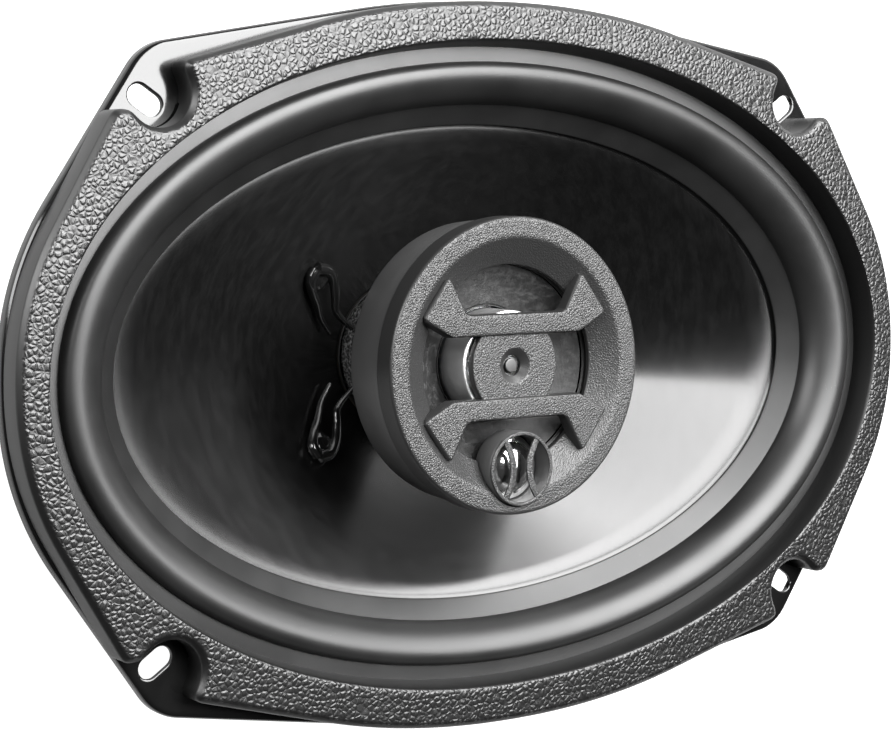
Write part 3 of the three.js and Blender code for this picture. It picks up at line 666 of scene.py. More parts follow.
def shader_group(name: str, inputs: dict[str, tuple[str, object]], outputs: dict[str, str]) -> tuple:
    """Starts a shader node group with named sockets.

    Args:
        name: The group's name.
        inputs: Each input's socket type and default value.
        outputs: Each output's socket type.

    Returns:
        The tree, its Shader, its input node and its output node.
    """
    tree = bpy.data.node_groups.new(name, "ShaderNodeTree")
    for key, (kind, value) in inputs.items():
        socket = tree.interface.new_socket(name=key, in_out="INPUT", socket_type=kind)
        if value is not None:
            socket.default_value = value
    for key, kind in outputs.items():
        tree.interface.new_socket(name=key, in_out="OUTPUT", socket_type=kind)
    return tree, Shader(tree), tree.nodes.new("NodeGroupInput"), tree.nodes.new("NodeGroupOutput")


FLOAT, VECTOR = "NodeSocketFloat", "NodeSocketVector"


def pebble_group() -> bpy.types.NodeTree:
    """Leather-like grain: flat pebbles of uneven size with creases between them, and a crease mask that is used
    for painted shade.
    """
    tree, s, given, out = shader_group(
        "pebble_grain",
        {"Place": (VECTOR, None), "Cells": (FLOAT, 700.0), "Crease": (FLOAT, 0.2)},
        {"Height": FLOAT, "Crease shade mask": FLOAT},
    )
    place, size = given.outputs["Place"], given.outputs["Cells"]
    warp = s.add("ShaderNodeTexNoise", None, Vector=place, Scale=260.0, Detail=2.0)
    shift = s.vector("SUBTRACT", warp.outputs["Color"], (0.5, 0.5, 0.5))
    bent = s.vector("ADD", place, s.vector("SCALE", shift, Scale=0.0011))
    rise = s.span(s.cells("DISTANCE_TO_EDGE", bent, size), 0.0, given.outputs["Crease"])
    crown = s.cells("F1", bent, size)
    dome = s.math("MULTIPLY", s.math("MULTIPLY", crown, crown), -0.9)
    fine = s.math("MULTIPLY", s.noise(place, 3200.0, 2.0), 0.08)
    s.feed(out.inputs["Height"], s.math("ADD", s.math("ADD", rise, dome), fine))
    # This mask only serves to darken the creases as painted shade.
    s.feed(out.inputs["Crease shade mask"], s.math("SUBTRACT", 1.0, rise))
    return tree


def mottle_group() -> bpy.types.NodeTree:
    """Uneven tone and fine surface grain, for plastics, rubber and paint."""
    tree, s, given, out = shader_group(
        "mottle",
        {"Place": (VECTOR, None), "Patches": (FLOAT, 60.0), "Grain": (FLOAT, 2500.0)},
        {"Tone": FLOAT, "Grain height": FLOAT},
    )
    place = given.outputs["Place"]
    wide = s.noise(place, given.outputs["Patches"], 4.0)
    fine = s.noise(place, given.outputs["Grain"], 3.0, 0.7)
    s.feed(out.inputs["Tone"], s.span(wide, 0.3, 0.7))
    s.feed(out.inputs["Grain height"], fine)
    return tree


def turning_group() -> bpy.types.NodeTree:
    """Fine rings round the Z axis, as a lathe or a press leaves them."""
    tree, s, given, out = shader_group(
        "turning_marks",
        {"Place": (VECTOR, None), "Rings": (FLOAT, 2500.0), "Centre Y": (FLOAT, 0.0)},
        {"Height": FLOAT, "Streak": FLOAT},
    )
    split = s.add("ShaderNodeSeparateXYZ", None, Vector=given.outputs["Place"])
    y = s.math("SUBTRACT", split.outputs[1], given.outputs["Centre Y"])
    radius = s.radius(split.outputs[0], y)
    angle = s.math("ARCTAN2", y, split.outputs[0])

    def rings(across: object, along: float, detail: float, roughness: float) -> bpy.types.NodeSocket:
        """Noise drawn out round the axis."""
        turned = {"X": s.math("MULTIPLY", radius, across), "Y": s.math("MULTIPLY", angle, along)}
        return s.noise(s.add("ShaderNodeCombineXYZ", None, **turned).outputs[0], 1.0, detail, roughness)

    s.feed(out.inputs["Height"], rings(given.outputs["Rings"], 1.5, 3.0, 0.8))
    s.feed(out.inputs["Streak"], s.span(rings(420.0, 9.0, 4.0, 0.7), 0.35, 0.7))
    return tree


def speck_group() -> bpy.types.NodeTree:
    """Sparse specks of dust and small scuffs."""
    tree, s, given, out = shader_group(
        "dust_specks",
        {"Place": (VECTOR, None), "Specks": (FLOAT, 900.0)},
        {"Mask": FLOAT},
    )
    place = given.outputs["Place"]
    dot = s.span(s.cells("F1", place, given.outputs["Specks"]), 0.03, 0.09, 1.0, 0.0)
    patch = s.span(s.noise(place, 55.0, 2.0), 0.55, 0.68)
    s.feed(out.inputs["Mask"], s.math("MULTIPLY", dot, patch))
    return tree


DUST_LEVEL = 0.35


class Effect(Enum):
    """The shader node groups that several finishes use."""

    PEBBLE = "pebble_grain"
    MOTTLE = "mottle"
    TURNING = "turning_marks"
    SPECKS = "dust_specks"

    def tree(self) -> bpy.types.NodeTree:
        """The effect's group, built the first time it is used."""
        makers = {
            Effect.PEBBLE: pebble_group, Effect.MOTTLE: mottle_group,
            Effect.TURNING: turning_group, Effect.SPECKS: speck_group,
        }
        return bpy.data.node_groups.get(self.value) or makers[self]()


def colour(value: float | Point) -> tuple[float, ...]:
    """A grey level, or a red, green and blue, as an opaque colour."""
    return (value, value, value, 1.0) if isinstance(value, float) else (*value, 1.0)


@dataclass(frozen=True)
class Finish:
    """A material's plain values. Each kind of finish adds its own pattern."""

    name: str
    slot: str
    dark: float | Point
    light: float | Point
    roughness: float
    roughness_span: float
    metallic: float = 0.0
    coat: float = 0.0
    bump_mm: float = 0.01
    specular: float = 0.5
    specks: float = 0.25
    brushing: float = 0.0

    def material(self) -> bpy.types.Material:
        """The finish as a material, built the first time it is used."""
        known = bpy.data.materials.get(self.name)
        if known:
            return known
        made = bpy.data.materials.new(self.name)
        made.use_nodes = True
        shader = Shader(made.node_tree)
        surface = made.node_tree.nodes["Principled BSDF"]
        values = {"Metallic": self.metallic, "Coat_Weight": self.coat, "Specular_IOR_Level": self.specular}
        shader.put(surface, **values)
        place = shader.add("ShaderNodeTexCoord").outputs["Object"]
        tone, height = self.pattern(shader, place)
        result = shader.mix(tone, colour(self.dark), colour(self.light))
        if self.specks:
            dust = shader.group(Effect.SPECKS.tree(), Place=place).outputs["Mask"]
            result = shader.mix(shader.math("MULTIPLY", dust, self.specks), result, colour(DUST_LEVEL))
        spread = self.roughness_span
        rough = shader.math("ADD", shader.math("MULTIPLY", tone, spread), self.roughness - spread / 2)
        bump = shader.add("ShaderNodeBump", None, Height=height, Distance=self.bump_mm * MM)
        shader.put(surface, Base_Color=result, Roughness=rough, Normal=bump.outputs["Normal"])
        if self.brushing:
            tangent = shader.add("ShaderNodeTangent", {"direction_type": "RADIAL", "axis": "Z"}).outputs[0]
            shader.put(surface, Tangent=tangent, Anisotropic=self.brushing, Anisotropic_Rotation=0.25)
        return made

    def pattern(self, s: Shader, place: bpy.types.NodeSocket) -> tuple:
        """The tone and the height over the surface.

        Args:
            s: The material's shader builder.
            place: Object coordinates.

        Returns:
            A tone from 0 to 1 and a height from about 0 to 1.
        """
        raise NotImplementedError


@dataclass(frozen=True)
class GrainedFinish(Finish):
    """Moulded plastic or paint with an even fine grain."""

    grain: float = 2500.0
    patches: float = 60.0

    def pattern(self, s: Shader, place: bpy.types.NodeSocket) -> tuple:
        """An even grain of the finish's own size."""
        mottle = s.group(Effect.MOTTLE.tree(), Place=place, Grain=self.grain, Patches=self.patches)
        return mottle.outputs["Tone"], mottle.outputs["Grain height"]


@dataclass(frozen=True)
class PebbleFinish(Finish):
    """Moulded plastic with a leather-like grain on its face and smooth walls; the walls and the creases are
    darkened as painted shade.
    """

    cells: float = 980.0
    crease: float = 0.34

    def pattern(self, s: Shader, place: bpy.types.NodeSocket) -> tuple:
        """Pebbles with painted shade in their creases, where the surface faces the front; walls that face away
        from the front get the dark tone as painted shade.
        """
        grain = s.group(Effect.PEBBLE.tree(), Place=place, Cells=self.cells, Crease=self.crease)
        facing = s.add("ShaderNodeSeparateXYZ", None, Vector=s.add("ShaderNodeTexCoord").outputs["Normal"])
        face = s.span(facing.outputs[2], 0.72, 0.93)
        # Creases keep a quarter of the tone: painted shade.
        crease_shade = s.math("SUBTRACT", 1.0, s.math("MULTIPLY", grain.outputs["Crease shade mask"], 0.75))
        # Walls that face away from the front fall to the dark tone: painted shade. The bump is kept to the front
        # face too.
        return s.math("MULTIPLY", crease_shade, face), s.math("MULTIPLY", grain.outputs["Height"], face)


@dataclass(frozen=True)
class TurnedFinish(Finish):
    """A surface with fine rings round an axis parallel to Z."""

    rings: float = 2500.0
    centre_y: float = 0.0

    def pattern(self, s: Shader, place: bpy.types.NodeSocket) -> tuple:
        """Rings of the finish's own spacing, with streaks along them."""
        marks = s.group(Effect.TURNING.tree(), Place=place, Rings=self.rings, Centre_Y=self.centre_y * MM)
        return marks.outputs["Streak"], marks.outputs["Height"]


@dataclass(frozen=True)
class FibreFinish(Finish):
    """Paper, felt or pressed board: short fibres lying every way."""

    fibres: float = 900.0

    def pattern(self, s: Shader, place: bpy.types.NodeSocket) -> tuple:
        """Two sets of stretched noise that cross each other."""
        layers = []
        for stretch in ((1.0, 0.45, 1.0), (0.45, 1.0, 1.0)):
            turned = s.add("ShaderNodeMapping", None, Vector=place, Scale=stretch)
            turned.inputs["Rotation"].default_value = (0, 0, 0.6)
            layers.append(s.noise(turned.outputs[0], self.fibres, 5.0, 0.7))
        height = s.math("MAXIMUM", layers[0], layers[1])
        return s.span(height, 0.45, 0.75), height


@dataclass(frozen=True)
class WeaveFinish(Finish):
    """Coarse woven cloth, set with resin."""

    threads: float = 1400.0

    def pattern(self, s: Shader, place: bpy.types.NodeSocket) -> tuple:
        """Two crossed sets of threads."""
        split = s.add("ShaderNodeSeparateXYZ", None, Vector=place)
        sets = [s.math("SINE", s.math("MULTIPLY", split.outputs[k], self.threads * TURN / 2)) for k in (0, 1)]
        tone = s.span(s.math("MULTIPLY", *sets), -0.6, 0.8)
        return tone, s.math("MAXIMUM", *(s.math("ABSOLUTE", threads) for threads in sets))


@dataclass(frozen=True)
class CellFinish(Finish):
    """Open-cell foam."""

    cells: float = 900.0

    def pattern(self, s: Shader, place: bpy.types.NodeSocket) -> tuple:
        """Cells whose walls stand up, with painted shade in the hollows."""
        depth = s.cells("SMOOTH_F1", place, self.cells)
        # The hollows near each cell's centre get the dark tone: painted shade.
        return s.span(depth, 0.25, 0.7), depth


@dataclass(frozen=True)
class BraidFinish(Finish):
    """A braided or twisted strand that lies mostly along X."""

    along: float = 2200.0
    across: float = 3100.0

    def pattern(self, s: Shader, place: bpy.types.NodeSocket) -> tuple:
        """Diagonal ridges that cross each other round the strand, with painted shade in the grooves between them.
        """
        split = s.add("ShaderNodeSeparateXYZ", None, Vector=place)
        along = s.math("MULTIPLY", split.outputs[0], self.along)
        across = s.math("MULTIPLY", s.math("ADD", split.outputs[1], split.outputs[2]), self.across)
        height = s.math("MAXIMUM", *(s.math("SINE", s.math(way, along, across)) for way in ("ADD", "SUBTRACT")))
        # The grooves between the ridges get the dark tone: painted shade.
        return s.span(height, -0.2, 1.0), height


class Finishes:
    """Every finish of the speaker, by the name of what it covers."""

    trim = PebbleFinish(
        "trim_pebble", "trim_grain", 0.002, 0.010, 0.32, -0.16, bump_mm=0.07, specks=0.0, cells=840.0
    )
    flange = GrainedFinish(
        "gloss_flange_paint", "basket_paint", 0.003, 0.005, 0.14, 0.05, bump_mm=0.004, grain=600.0
    )
    rubber = GrainedFinish(
        "surround_rubber_satin", "surround_rubber", 0.006, 0.009, 0.40, 0.05, bump_mm=0.008, grain=1800.0
    )
    cone = TurnedFinish(
        "gloss_cone", "cone_black", 0.002, 0.004, 0.22, 0.02,
        bump_mm=0.003, rings=2300.0, specks=0.0, brushing=0.95,
    )
    housing = GrainedFinish(
        "housing_satin", "bezel_plastic", 0.045, 0.055, 0.38, 0.05, bump_mm=0.006, grain=2600.0
    )
    bezel = PebbleFinish(
        "bezel_fine_grain", "bezel_plastic", 0.015, 0.026, 0.36, -0.06,
        bump_mm=0.075, specks=0.0, cells=2100.0, crease=0.5,
    )
    mid_paper = FibreFinish("mid_cone_fibre", "cone_paper", 0.010, 0.046, 0.62, 0.2, bump_mm=0.09, fibres=700.0)
    chrome = GrainedFinish("chrome_sleeve", "chrome_cup", 0.66, 0.78, 0.42, 0.05, metallic=1.0, bump_mm=0.002)
    dome = TurnedFinish(
        "bright_dome", "chrome_cup", 0.55, 0.68, 0.14, 0.04,
        metallic=1.0, bump_mm=0.002, rings=900.0, centre_y=-22.9,
    )
    zinc = TurnedFinish(
        "zinc_plate", "zinc_steel", (0.42, 0.43, 0.45), (0.58, 0.58, 0.56), 0.36, 0.12,
        metallic=1.0, rings=1400.0,
    )
    stud = GrainedFinish("stud_steel", "zinc_steel", 0.06, 0.10, 0.5, 0.10, metallic=1.0)
    ferrite = GrainedFinish("fired_ferrite", "ferrite_black", 0.030, 0.055, 0.62, 0.15, bump_mm=0.05, grain=1100.0)
    foam = CellFinish("open_cell_foam", "foam_grey", 0.02, 0.16, 0.9, 0.1, bump_mm=0.5, specular=0.3, cells=1700.0)
    glue = GrainedFinish("black_glue", "glue_black", 0.004, 0.008, 0.10, 0.04, coat=0.6, bump_mm=0.02, grain=500.0)
    spider = WeaveFinish(
        "spider_weave", "spider_cloth", (0.30, 0.20, 0.06), (0.62, 0.45, 0.17), 0.80, 0.1, bump_mm=0.12
    )
    film = TurnedFinish("neutral_film", "former_film", 0.004, 0.008, 0.60, 0.1, bump_mm=0.005)
    lacquer = GrainedFinish("lacquered_wire", "copper_wire", 0.006, 0.012, 0.35, 0.1)
    copper = GrainedFinish(
        "enamelled_copper", "copper_wire", (0.42, 0.14, 0.05), (0.66, 0.27, 0.11), 0.30, 0.1, metallic=1.0
    )
    braid = BraidFinish(
        "tinsel_braid", "copper_wire", (0.35, 0.13, 0.06), (0.80, 0.42, 0.24), 0.38, 0.15,
        metallic=1.0, bump_mm=0.12,
    )
    brass = GrainedFinish(
        "brushed_brass", "terminal_brass", (0.42, 0.30, 0.12), (0.66, 0.51, 0.24), 0.30, 0.14, metallic=1.0
    )
    board = FibreFinish(
        "terminal_board_fibre", "fibre_board", (0.055, 0.026, 0.012), (0.14, 0.07, 0.03), 0.60, 0.15, bump_mm=0.05
    )
    sleeve = GrainedFinish(
        "shrink_sleeve", "capacitor_sleeve", (0.006, 0.014, 0.05), (0.012, 0.028, 0.09), 0.28, 0.08
    )
    ceramic = GrainedFinish("piezo_plating", "terminal_brass", 0.30, 0.42, 0.40, 0.1, metallic=1.0)


# ---------- Geometry Nodes ----------


class Recipe:
    """A Geometry Nodes tree with named inputs, whose result becomes a plain mesh."""

    def __init__(self, name: str, inputs: dict[str, tuple[str, object]]) -> None:
        """Starts the tree.

        Args:
            name: The tree's name.
            inputs: Each input's socket type and default value.
        """
        self.tree = bpy.data.node_groups.new(name, "GeometryNodeTree")
        face = self.tree.interface
        face.new_socket(name="Geometry", in_out="INPUT", socket_type="NodeSocketGeometry")
        self.sockets = {}
        for key, (kind, value) in inputs.items():
            socket = face.new_socket(name=key, in_out="INPUT", socket_type=kind)
            socket.default_value = value
            self.sockets[key] = socket.identifier
        face.new_socket(name="Geometry", in_out="OUTPUT", socket_type="NodeSocketGeometry")
        self.build = Shader(self.tree)
        self.given = self.tree.nodes.new("NodeGroupInput")
        self.out = self.tree.nodes.new("NodeGroupOutput")

    def moved(self, geometry: bpy.types.NodeSocket, offset: bpy.types.NodeSocket) -> bpy.types.NodeSocket:
        """Geometry with its points moved by an offset."""
        return self.build.add("GeometryNodeSetPosition", None, Geometry=geometry, Offset=offset).outputs[0]

    def end(self, geometry: bpy.types.NodeSocket, material: bpy.types.Material) -> None:
        """Ends the tree in Realize Instances and Set Material."""
        for kind, inputs in (
            ("SetShadeSmooth", {}), ("RealizeInstances", {}), ("SetMaterial", {"Material": material}),
        ):
            geometry = self.build.add(f"GeometryNode{kind}", None, Geometry=geometry, **inputs).outputs[0]
        self.build.feed(self.out.inputs[0], geometry)

    def run(self, obj: bpy.types.Object, values: dict[str, object], sharp_deg: float = 60.0) -> bpy.types.Object:
        """Runs the tree on an object and keeps the result as its mesh.

        Args:
            obj: The object that the tree is given.
            values: The inputs' values.
            sharp_deg: Edges that bend more than this stay sharp.

        Returns:
            The object.
        """
        step = obj.modifiers.new(self.tree.name, "NODES")
        step.node_group = self.tree
        for key, value in values.items():
            step[self.sockets[key]] = value
        return settle(obj, sharp_deg)


def helix_recipe(material: bpy.types.Material) -> Recipe:
    """Round wire wound up a cylinder: a coil's turns or a screw's thread."""
    recipe = Recipe("wound_helix", {
        "Radius": (FLOAT, 0.01), "Foot": (FLOAT, 0.0), "Height": (FLOAT, 0.01), "Turns": (FLOAT, 10.0),
        "Wire": (FLOAT, 0.0002), "Steps": ("NodeSocketInt", 40), "Sides": ("NodeSocketInt", 6),
    })
    s, given = recipe.build, recipe.given.outputs
    spiral = s.add(
        "GeometryNodeCurveSpiral", None, Resolution=given["Steps"], Rotations=given["Turns"],
        Start_Radius=given["Radius"], End_Radius=given["Radius"], Height=given["Height"],
    )
    section = s.add(
        "GeometryNodeCurvePrimitiveCircle", None, Resolution=given["Sides"], Radius=given["Wire"]
    )
    mesh = s.add(
        "GeometryNodeCurveToMesh", None, Curve=spiral.outputs[0], Profile_Curve=section.outputs[0], Fill_Caps=True
    )
    lift = s.add("ShaderNodeCombineXYZ", None, Z=given["Foot"])
    recipe.end(recipe.moved(mesh.outputs[0], lift.outputs[0]), material)
    return recipe


def circle_of_copies_recipe(material: bpy.types.Material) -> Recipe:
    """Copies of a small piece round a circle."""
    recipe = Recipe("circle_of_copies", {
        "Count": ("NodeSocketInt", 4), "Radius": (FLOAT, 0.03), "First angle": (FLOAT, 0.0),
    })
    s, given = recipe.build, recipe.given.outputs
    ring = s.add("GeometryNodeMeshCircle", None, Vertices=given["Count"], Radius=given["Radius"])
    spin = s.add("ShaderNodeCombineXYZ", None, Z=given["First angle"])
    turned = s.add("GeometryNodeTransform", None, Geometry=ring.outputs[0], Rotation=spin.outputs[0])
    copies = s.add(
        "GeometryNodeInstanceOnPoints", None, Points=turned.outputs[0], Instance=given["Geometry"]
    )
    recipe.end(copies.outputs[0], material)
    return recipe


def corrugation_recipe(material: bpy.types.Material) -> Recipe:
    """Lifts a flat ring of cloth into concentric waves."""
    recipe = Recipe("corrugations", {
        "Inner": (FLOAT, 0.02), "Outer": (FLOAT, 0.045), "Waves": (FLOAT, 3.0), "Height": (FLOAT, 0.0016),
    })
    s, given = recipe.build, recipe.given.outputs
    split = s.add("ShaderNodeSeparateXYZ", None, Vector=s.add("GeometryNodeInputPosition").outputs[0])
    past = s.math("SUBTRACT", s.radius(split.outputs[0], split.outputs[1]), given["Inner"])
    share = s.math("DIVIDE", past, s.math("SUBTRACT", given["Outer"], given["Inner"]))
    held = s.add("ShaderNodeClamp", None, Value=share)
    phase = s.math("MULTIPLY", s.math("MULTIPLY", held.outputs[0], given["Waves"]), TURN)
    wave = s.math("MULTIPLY", s.math("SUBTRACT", 1.0, s.math("COSINE", phase)), 0.5)
    lift = s.add("ShaderNodeCombineXYZ", None, Z=s.math("MULTIPLY", wave, given["Height"]))
    recipe.end(recipe.moved(given["Geometry"], lift.outputs[0]), material)
    return recipe


def rough_skin_recipe(material: bpy.types.Material) -> Recipe:
    """Pushes a dense skin in and out with seeded noise, as torn foam or a poured bead has."""
    recipe = Recipe("rough_skin", {
        "Depth": (FLOAT, 0.0004), "Lumps": (FLOAT, 600.0), "Seed": (FLOAT, 3.0),
    })
    s, given = recipe.build, recipe.given.outputs
    noise = s.add(
        "ShaderNodeTexNoise", {"noise_dimensions": "4D"}, Detail=3.0, Roughness=0.6, W=given["Seed"],
        Scale=given["Lumps"], Vector=s.add("GeometryNodeInputPosition").outputs[0],
    )
    size = s.math("MULTIPLY", s.math("SUBTRACT", noise.outputs["Fac"], 0.62), given["Depth"])
    push = s.vector("SCALE", s.add("GeometryNodeInputNormal").outputs[0], Scale=size)
    recipe.end(recipe.moved(given["Geometry"], push), material)
    return recipe


class Workshop:
    """The recipes, each built once for each material."""

    makers = {
        "helix": helix_recipe, "copies": circle_of_copies_recipe,
        "corrugation": corrugation_recipe, "rough": rough_skin_recipe,
    }
    made: dict[tuple[str, str], Recipe] = {}

    @classmethod
    def recipe(cls, kind: str, finish: Finish) -> Recipe:
        """The recipe of a kind that sets a finish's material."""
        key = (kind, finish.name)
        if key not in cls.made:
            cls.made[key] = cls.makers[kind](finish.material())
        return cls.made[key]


# ---------- Fitting pieces to the frame ----------


class Body(Enum):
    """The frame's bodies."""

    ROOT = "root"
    CONE = "cone_assembly"
    MID = "mid_assembly"
    TWEETER = "supertweeter_diaphragm"


def dress(
    obj: bpy.types.Object, finish: Finish, nodes: Sequence[str], body: Optional[Body] = Body.ROOT
) -> bpy.types.Object:
    """Gives a piece its finish, its body and the nodes that it stands for.

    Args:
        obj: The piece.
        finish: What it looks like.
        nodes: The CAD nodes that it replaces.
        body: The body that it rides on, or None to leave it unattached.

    Returns:
        The piece.
    """
    obj.data.materials.clear()
    obj.data.materials.append(finish.material())
    if body is not None:
        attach(obj, body.value)
    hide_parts(*nodes)
    log.info("%s: %d faces, %s", obj.name, len(obj.data.polygons), finish.name)
    return obj


def turned(
    name: str, node: str, finish: Finish, section: Section, steps: int, body: Body = Body.ROOT, **sweep: int
) -> bpy.types.Object:
    """Sweeps a section round Z and dresses it as a CAD node's piece."""
    return dress(swept(name, section, steps, **sweep), finish, [node], body)


def bend(obj: bpy.types.Object, share: np.ndarray) -> None:
    """Bakes a piece's transform into its mesh; the piece does not bend.

    Args:
        obj: The piece.
        share: Not used.
    """
    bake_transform(obj)


def points_mm(obj: bpy.types.Object) -> np.ndarray:
    """An object's vertices in millimetres."""
    flat = np.zeros(3 * len(obj.data.vertices), np.float32)
    obj.data.vertices.foreach_get("co", flat)
    return flat.reshape(-1, 3).astype(float) / MM


def low(node: str, axis: int) -> float:
    """A CAD node's lowest coordinate on an axis, in millimetres."""
    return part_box(node)[0][axis] / MM


def high(node: str, axis: int) -> float:
    """A CAD node's highest coordinate on an axis, in millimetres."""
    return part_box(node)[1][axis] / MM


def middle(node: str, axis: int) -> float:
    """The middle of a CAD node on an axis, in millimetres."""
    return (low(node, axis) + high(node, axis)) / 2


def levels(node: str) -> tuple[float, float]:
    """The levels of a CAD node's foot and top, in millimetres."""
    return low(node, 2), high(node, 2)


def shifted(obj: bpy.types.Object, x: float, y: float) -> bpy.types.Object:
    """Moves a mesh made round Z to a place in plan, in millimetres."""
    obj.data.transform(Matrix.Translation((x * MM, y * MM, 0)))
    return obj


def roundover(depth: np.ndarray, radius: float) -> np.ndarray:
    """How far a rounded edge falls below its face at depths from the edge."""
    inside = np.clip(depth, 0, radius)
    return radius - np.sqrt(radius**2 - (radius - inside) ** 2)


def knee(depth: np.ndarray, width: float, drop: float, softness: float) -> np.ndarray:
    """How far a softened bevel falls below its face.

    Args:
        depth: Distances from the edge.
        width: The bevel's width.
        drop: Its fall at the edge.
        softness: How round its upper end is.

    Returns:
        The fall at each depth.
    """
    return drop / width * softness * np.logaddexp(0, (width - depth) / softness)


@dataclass
class Plan:
    """The plan shapes and levels that several sub-assemblies share."""

    long_half: float = field(default_factory=lambda: high("basket", 0))
    short_half: float = field(default_factory=lambda: high("basket", 1))
    flange_top: float = field(default_factory=lambda: low("trim_ring", 2))
    motor_top: float = field(default_factory=lambda: high("top_plate", 2))
    flange_power: float = 2.17
    trim_power: float = 2.12
    trim_margin: float = 0.4
    ear_inset: tuple[float, float] = (39.6, 22.3)
    ear_radius: float = 12.0
    trim_corner: tuple[float, float] = (27.0, 19.2)
    slot_inset: tuple[float, float] = (32.4, 23.0)
    slot_width: float = 4.7
    slot_length: float = 8.3
    bowl_inset: tuple[float, float] = (10.7, 11.3)
    roll_outer_inset: tuple[float, float] = (11.5, 13.3)
    roll_inner_inset: tuple[float, float] = (22.7, 22.75)
    rim_inset: tuple[float, float] = (27.3, 27.2)
    shelf_rise: float = 10.0
    quadrants: tuple[tuple[int, int], ...] = ((1, 1), (-1, 1), (-1, -1), (1, -1))

    def oval_inside(self, inset: tuple[float, float], power: float = 2.0) -> Outline:
        """An oval set in from the flange's ends and sides."""
        return oval(self.long_half - inset[0], self.short_half - inset[1], power)

    def eared_loop(self, shrink: float, power: float, corner: tuple[float, float], radius: float) -> np.ndarray:
        """An oval whose four corners are pulled out round circles.

        Args:
            shrink: How far the oval is set in.
            power: How square it is.
            corner: From the flange's ends to a corner circle's centre.
            radius: The corner circles' radius.

        Returns:
            The loop's corners.
        """
        rim = plan_loop(oval(self.long_half - shrink, self.short_half - shrink, power), 720)
        arc = np.linspace(0, math.pi / 2, 25)
        ears = [
            np.stack([sx * (self.long_half - corner[0] + radius * np.cos(arc)),
                      sy * (self.short_half - corner[1] + radius * np.sin(arc))], -1)
            for sx, sy in self.quadrants
        ]
        return convex_hull(np.vstack([rim, *ears]))

    def slot_centre(self) -> np.ndarray:
        """The centre of the screw slot in the first quadrant."""
        return np.array([self.long_half - self.slot_inset[0], self.short_half - self.slot_inset[1]])

    def slot_loop(self, sx: int, sy: int) -> np.ndarray:
        """A round-ended slot that points at the speaker's axis."""
        run = (self.slot_length - self.slot_width) / 2
        arc = np.linspace(-math.pi / 2, math.pi / 2, 13)
        end = np.stack([run + self.slot_width / 2 * np.cos(arc), self.slot_width / 2 * np.sin(arc)], -1)
        loop = np.vstack([end, -end])
        centre = self.slot_centre() * (sx, sy)
        direction = centre / np.linalg.norm(centre)
        across = np.array([-direction[1], direction[0]])
        return centre + loop[:, :1] * direction + loop[:, 1:] * across


# ---------- Basket ----------


